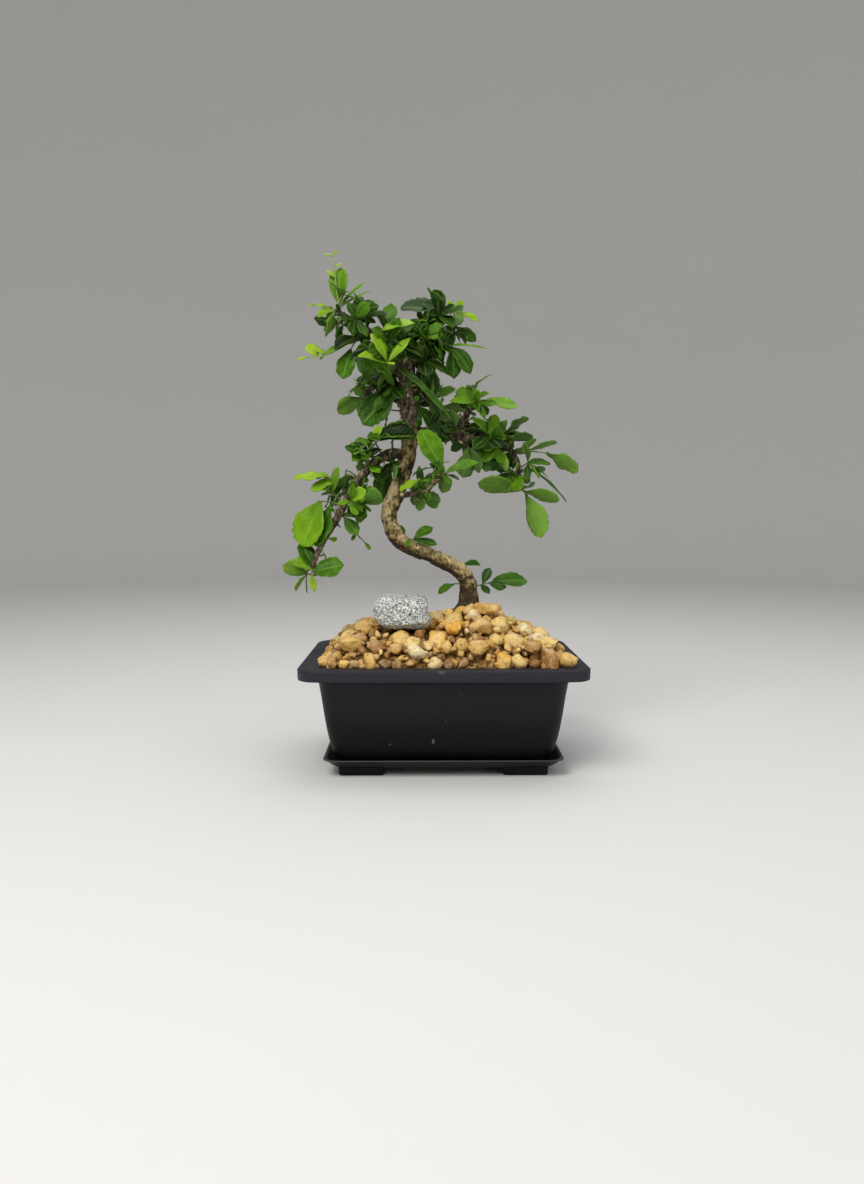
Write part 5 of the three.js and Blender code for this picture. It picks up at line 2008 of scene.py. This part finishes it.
@dataclass
class Foliage:
    """Every sprig of the tree, each its own piece."""

    skeleton: Skeleton
    press: LeafPress
    thickness: float = 0.32 * MM
    twig: float = 0.85 * MM
    shoot: tuple[float, float] = (2 * MM, 10 * MM)
    least: float = 10 * MM
    most: float = 20 * MM

    def build(self) -> None:
        """Builds and dresses every sprig."""
        sides = tuple(LeafFinish(side).make() for side in LeafSide)
        materials = (*sides, TwigFinish().make())
        for number, sprig in enumerate(SPRIGS):
            piece = self.sprig(sprig, random.Random(100 + number), materials)
            slot = "young_leaf" if sprig.name in YOUNG_NODES else "leaf"
            Tool.hand_in(piece, slot, sprig.name)

    def sprig(
        self, plan: Sprig, rng: random.Random, materials: tuple[bpy.types.Material, ...]
    ) -> bpy.types.Object:
        """One sprig.

        Args:
            plan: its layout.
            rng: where its small differences come from.
            materials: upper leaf, lower leaf and twig.

        Returns:
            The piece.
        """
        start, _, _ = self.skeleton.at(plan.limb, plan.along)
        path = self.twig_path(plan, start)
        face = Vector((0, 0.5 if start.y > 17 * MM else -0.6, 0.8))
        leaves = []
        for share, turn, climb, length, kind, tone in plan.leaves:
            at = share * (len(path) - 1)
            k = min(int(at), len(path) - 2)
            base = path[k][0].lerp(path[k + 1][0], at - k)
            leaves.append(
                self.press.leaf(base, heading(turn, climb), face, length * MM, kind, tone, rng)
            )
        more, shoots = self.bunches(plan, face, rng)
        blades = Tool.join(plan.name + "_leaves", leaves + more)
        Tool.dress(blades, *materials)
        Tool.modify(blades, "SOLIDIFY", thickness=self.thickness, offset=0, material_offset=1)
        stem = Tool.join("stem", [Tool.tube(path, 1), *shoots])
        Tool.mark(stem, plan.tone)
        Tool.dress(stem, *materials)
        stem.data.polygons.foreach_set("material_index", [2] * len(stem.data.polygons))
        Tool.shade(stem)
        return Tool.join(plan.name + "_leaves", [blades, stem])

    def twig_path(self, plan: Sprig, start: Vector) -> list[tuple[Vector, float]]:
        """The twig's line, thinner to its tip.

        Args:
            plan: the sprig's layout.
            start: where it leaves the limb.

        Returns:
            Its places and radii.
        """
        steps = 5 if plan.bend else 2
        path = [(start, self.twig)]
        for k in range(steps):
            way = heading(plan.turn, plan.climb + plan.bend * (k + 0.5) / steps)
            place = path[-1][0] + way * plan.length * MM / steps
            path.append((place, self.twig * (1 - 0.5 * (k + 1) / steps)))
        return path

    def bunches(
        self, plan: Sprig, face: Vector, rng: random.Random
    ) -> tuple[list[bpy.types.Object], list[bpy.types.Object]]:
        """Short shoots on the limb near the twig, each with a rosette of leaves at its end.

        Args:
            plan: the sprig they belong to.
            face: the way the sprig's leaves look.
            rng: where they grow.

        Returns:
            The leaves and the shoots.
        """
        leaves, shoots = [], []
        bright = plan.tone >= 0.6
        for _ in range((plan.extra + 1) // 3):
            spot = min(max(plan.along + rng.uniform(-0.11, 0.09), 0.06), 1.0)
            place, way, radius = self.skeleton.at(plan.limb, spot)
            lean = sideways(way, rng)
            lean = (lean + Vector((0, 0.9 if bright else -0.1, 0.3))).normalized()
            tip = place + lean * (radius + rng.uniform(self.shoot[0], self.shoot[1]))
            shoots.append(Tool.tube([(place, 0.8 * MM), (tip, 0.5 * MM)], 1))
            around = lean.orthogonal().normalized()
            spin = rng.uniform(0, TURN)
            for _ in range(rng.randint(4, 6)):
                spin += 2.4 + rng.uniform(-0.3, 0.3)
                side = around.copy()
                side.rotate(Matrix.Rotation(spin, 3, lean))
                out = side * rng.uniform(0.7, 1.1) + lean * rng.uniform(0.1, 0.9)
                out = (out + Vector((0, 0, -0.2))).normalized()
                look = (lean + face * 0.8 + jitter(rng, 0.25)).normalized()
                length = rng.uniform(self.least, self.most)
                # Painted shade: the bunch leaves of a bright sprig, back on the limb, are made darker than
                # the sprig.
                tone = min(max(plan.tone - 0.32 * bright + rng.uniform(-0.26, 0.2), 0.0), 0.95)
                kind = rng.choice((Kind.BROAD, Kind.BROAD, Kind.ROUND, Kind.NARROW))
                leaves.append(self.press.leaf(tip, out, look, length, kind, tone, rng))
        return leaves, shoots


@dataclass
class Trimmings:
    """Tiny new leaves along the branches, and dry bud scales where they broke out of the wood."""

    skeleton: Skeleton
    press: LeafPress
    seed: int = 77
    new_leaves: tuple[tuple[Limb, float, float, int, float], ...] = (
        (Limb.CROWN_LEFT, 0.25, 0.98, 34, 0.25), (Limb.CROWN_RIGHT, 0.2, 1.0, 26, 0.25),
        (Limb.SPUR, 0.25, 1.0, 26, 0.35), (Limb.RIGHT, 0.2, 0.98, 26, 0.35), (Limb.FORK, 0.2, 1.0, 10, 0.3),
        (Limb.LEFT, 0.1, 0.95, 26, 0.4), (Limb.TRUNK, 0.8, 0.99, 18, 0.15), (Limb.BACK, 0.3, 1.0, 10, 0.3),
        (Limb.BACK_LEFT, 0.3, 1.0, 10, 0.3),
    )
    dry: tuple[tuple[Limb, float, float, int, float], ...] = (
        (Limb.TRUNK, 0.74, 0.97, 26, 0.6), (Limb.RIGHT, 0.2, 0.6, 8, 0.4), (Limb.FORK, 0.1, 0.9, 6, 0.5),
        (Limb.LEFT, 0.05, 0.4, 7, 0.5), (Limb.CROWN_LEFT, 0.2, 0.8, 8, 0.4),
    )

    def build(self) -> None:
        """Builds and dresses both."""
        rng = random.Random(self.seed)
        sides = tuple(LeafFinish(side).make() for side in LeafSide)
        green = self.scatter(self.new_leaves, (3.5 * MM, 8 * MM), (Kind.BROAD, Kind.ROUND), rng)
        self.finish("new_leaves", green, "leaf", sides)
        scales = self.scatter(self.dry, (2.5 * MM, 6.5 * MM), (Kind.NARROW, Kind.BLADE), rng)
        self.finish("dry_bud_scales", scales, "bark", (DryFinish().make(),))

    def scatter(
        self, plan: tuple, size: tuple[float, float], kinds: tuple[Kind, ...], rng: random.Random
    ) -> list[bpy.types.Object]:
        """Small leaves that stand off the limbs.

        Args:
            plan: rows of limb, first and last share, count and tone.
            size: the least and greatest length.
            kinds: outlines to pick from.
            rng: where they grow.

        Returns:
            The leaves.
        """
        made = []
        for limb, low, high, count, tone in plan:
            for _ in range(count):
                place, way, radius = self.skeleton.at(limb, rng.uniform(low, high))
                lean = sideways(way, rng)
                out = (lean + way * rng.uniform(-0.4, 0.9) + Vector((0, 0, 0.3))).normalized()
                look = (lean + jitter(rng, 0.5)).normalized()
                shade = min(max(tone + rng.uniform(-0.2, 0.35), 0.0), 1.0)
                base = place + lean * radius * 0.85
                made.append(
                    self.press.leaf(base, out, look, rng.uniform(*size), rng.choice(kinds), shade, rng)
                )
        return made

    def finish(
        self,
        name: str,
        leaves: list[bpy.types.Object],
        slot: str,
        materials: tuple[bpy.types.Material, ...],
    ) -> None:
        """Joins, thickens and attaches one lot to the body.

        Args:
            name: the piece's name.
            leaves: what is joined.
            slot: passed on to Tool.hand_in.
            materials: its finishes.
        """
        piece = Tool.join(name, leaves)
        Tool.dress(piece, *materials)
        under = 1 if len(materials) > 1 else 0
        Tool.modify(piece, "SOLIDIFY", thickness=0.25 * MM, offset=0, material_offset=under)
        Tool.hand_in(piece, slot)


# ------------------------------------------------------------------- stage


@dataclass
class Studio:
    """The camera, the pale floor and backdrop, and soft lights."""

    camera_at: Point = (-0.0135, -0.6777, 0.1882)
    pitch: float = 5.2
    yaw: float = 0.48
    lens: float = 27.43
    floor_radius: float = 1.9
    curve: float = 0.7
    backdrop: float = 2.2
    tree_middle: float = 0.16

    def build(self) -> None:
        """Sets the stage."""
        self.camera()
        self.sweep()
        self.light("key", (-0.5, -0.85, 1.05), 0.7, 13.0, (1.0, 0.985, 0.95))
        self.light("top", (0.15, 0.2, 1.25), 1.0, 5.0, (0.98, 0.99, 1.0))
        self.light("fill", (0.95, -0.7, 0.5), 0.8, 2.5, (0.97, 0.985, 1.0))
        world = bpy.data.worlds.new("soft_daylight")
        world.use_nodes = True
        background = world.node_tree.nodes["Background"]
        background.inputs[0].default_value = (0.95, 0.97, 1.0, 1)
        background.inputs[1].default_value = 0.42
        bpy.context.scene.view_settings.view_transform = "Standard"
        bpy.context.scene.world = world

    def camera(self) -> None:
        """The camera."""
        data = bpy.data.cameras.new("camera")
        data.lens = self.lens
        data.sensor_width = 36
        data.clip_start = 0.01
        made = bpy.data.objects.new("camera", data)
        made.location = self.camera_at
        made.rotation_euler = Euler((math.radians(90 - self.pitch), 0, math.radians(-self.yaw)))
        bpy.context.scene.collection.objects.link(made)
        bpy.context.scene.camera = made

    def sweep(self) -> None:
        """A floor that curves up into a backdrop all round."""
        Tool.deselect()
        bpy.ops.mesh.primitive_circle_add(vertices=96, radius=self.floor_radius, fill_type="NGON")
        floor = Tool.active()
        floor.name = "pale_floor"
        bpy.ops.object.mode_set(mode="EDIT")
        bpy.ops.mesh.select_all(action="SELECT")
        bpy.ops.mesh.flip_normals()
        bpy.ops.mesh.delete(type="ONLY_FACE")
        bpy.ops.mesh.select_all(action="SELECT")
        radius, height = self.floor_radius, 0.0
        for k in range(1, 9):
            angle = k / 8 * math.pi / 2
            wide = self.floor_radius + self.curve * math.sin(angle)
            high = self.curve * (1 - math.cos(angle))
            bpy.ops.mesh.extrude_edges_move(TRANSFORM_OT_translate={"value": (0, 0, high - height)})
            bpy.ops.transform.resize(value=(wide / radius, wide / radius, 1), center_override=(0, 0, high))
            radius, height = wide, high
        bpy.ops.mesh.extrude_edges_move(TRANSFORM_OT_translate={"value": (0, 0, self.backdrop)})
        bpy.ops.object.mode_set(mode="OBJECT")
        Tool.shade(floor)
        Tool.deselect()
        bpy.ops.mesh.primitive_circle_add(vertices=96, radius=self.floor_radius, fill_type="NGON")
        disc = Tool.active()
        floor = Tool.join("pale_floor", [floor, disc])
        Tool.dress(floor, StageFinish().make())

    def light(self, name: str, at: Point, size: float, power: float, colour: Point) -> None:
        """A soft square light that looks at the tree.

        Args:
            name: its name.
            at: its place.
            size: its side.
            power: its watts.
            colour: its colour.
        """
        data = bpy.data.lights.new(name, "AREA")
        data.size = size
        data.energy = power
        data.color = colour
        made = bpy.data.objects.new(name, data)
        made.location = at
        away = Vector(at) - Vector((0, 0, self.tree_middle))
        made.rotation_euler = away.to_track_quat("Z", "Y").to_euler()
        bpy.context.scene.collection.objects.link(made)


def dress_soil(frame: dict) -> None:
    """Gives the hidden potting mix its own finish.

    Args:
        frame: what the loader gave.
    """
    node = frame["nodes"]["soil"]
    node.data.materials.clear()
    node.data.materials.append(EarthFinish("potting_mix").make())


def main() -> None:
    """Builds everything in order."""
    logging.basicConfig(level=logging.INFO, format="%(name)s %(message)s")
    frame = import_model()
    Studio().build()
    TrainingPot().build()
    DripTray().build()
    dress_soil(frame)
    heap = Heap()
    maker = PebbleMaker()
    maker.stock()
    GravelBed(heap, maker).build()
    maker.clear()
    GraniteStone().build()
    skeleton = Skeleton(heap.rim)
    Wood(skeleton).build()
    press = LeafPress()
    Foliage(skeleton, press).build()
    Trimmings(skeleton, press).build()
    Tool.drop(list(press.masters.values()))


if __name__ == "__main__":
    main()
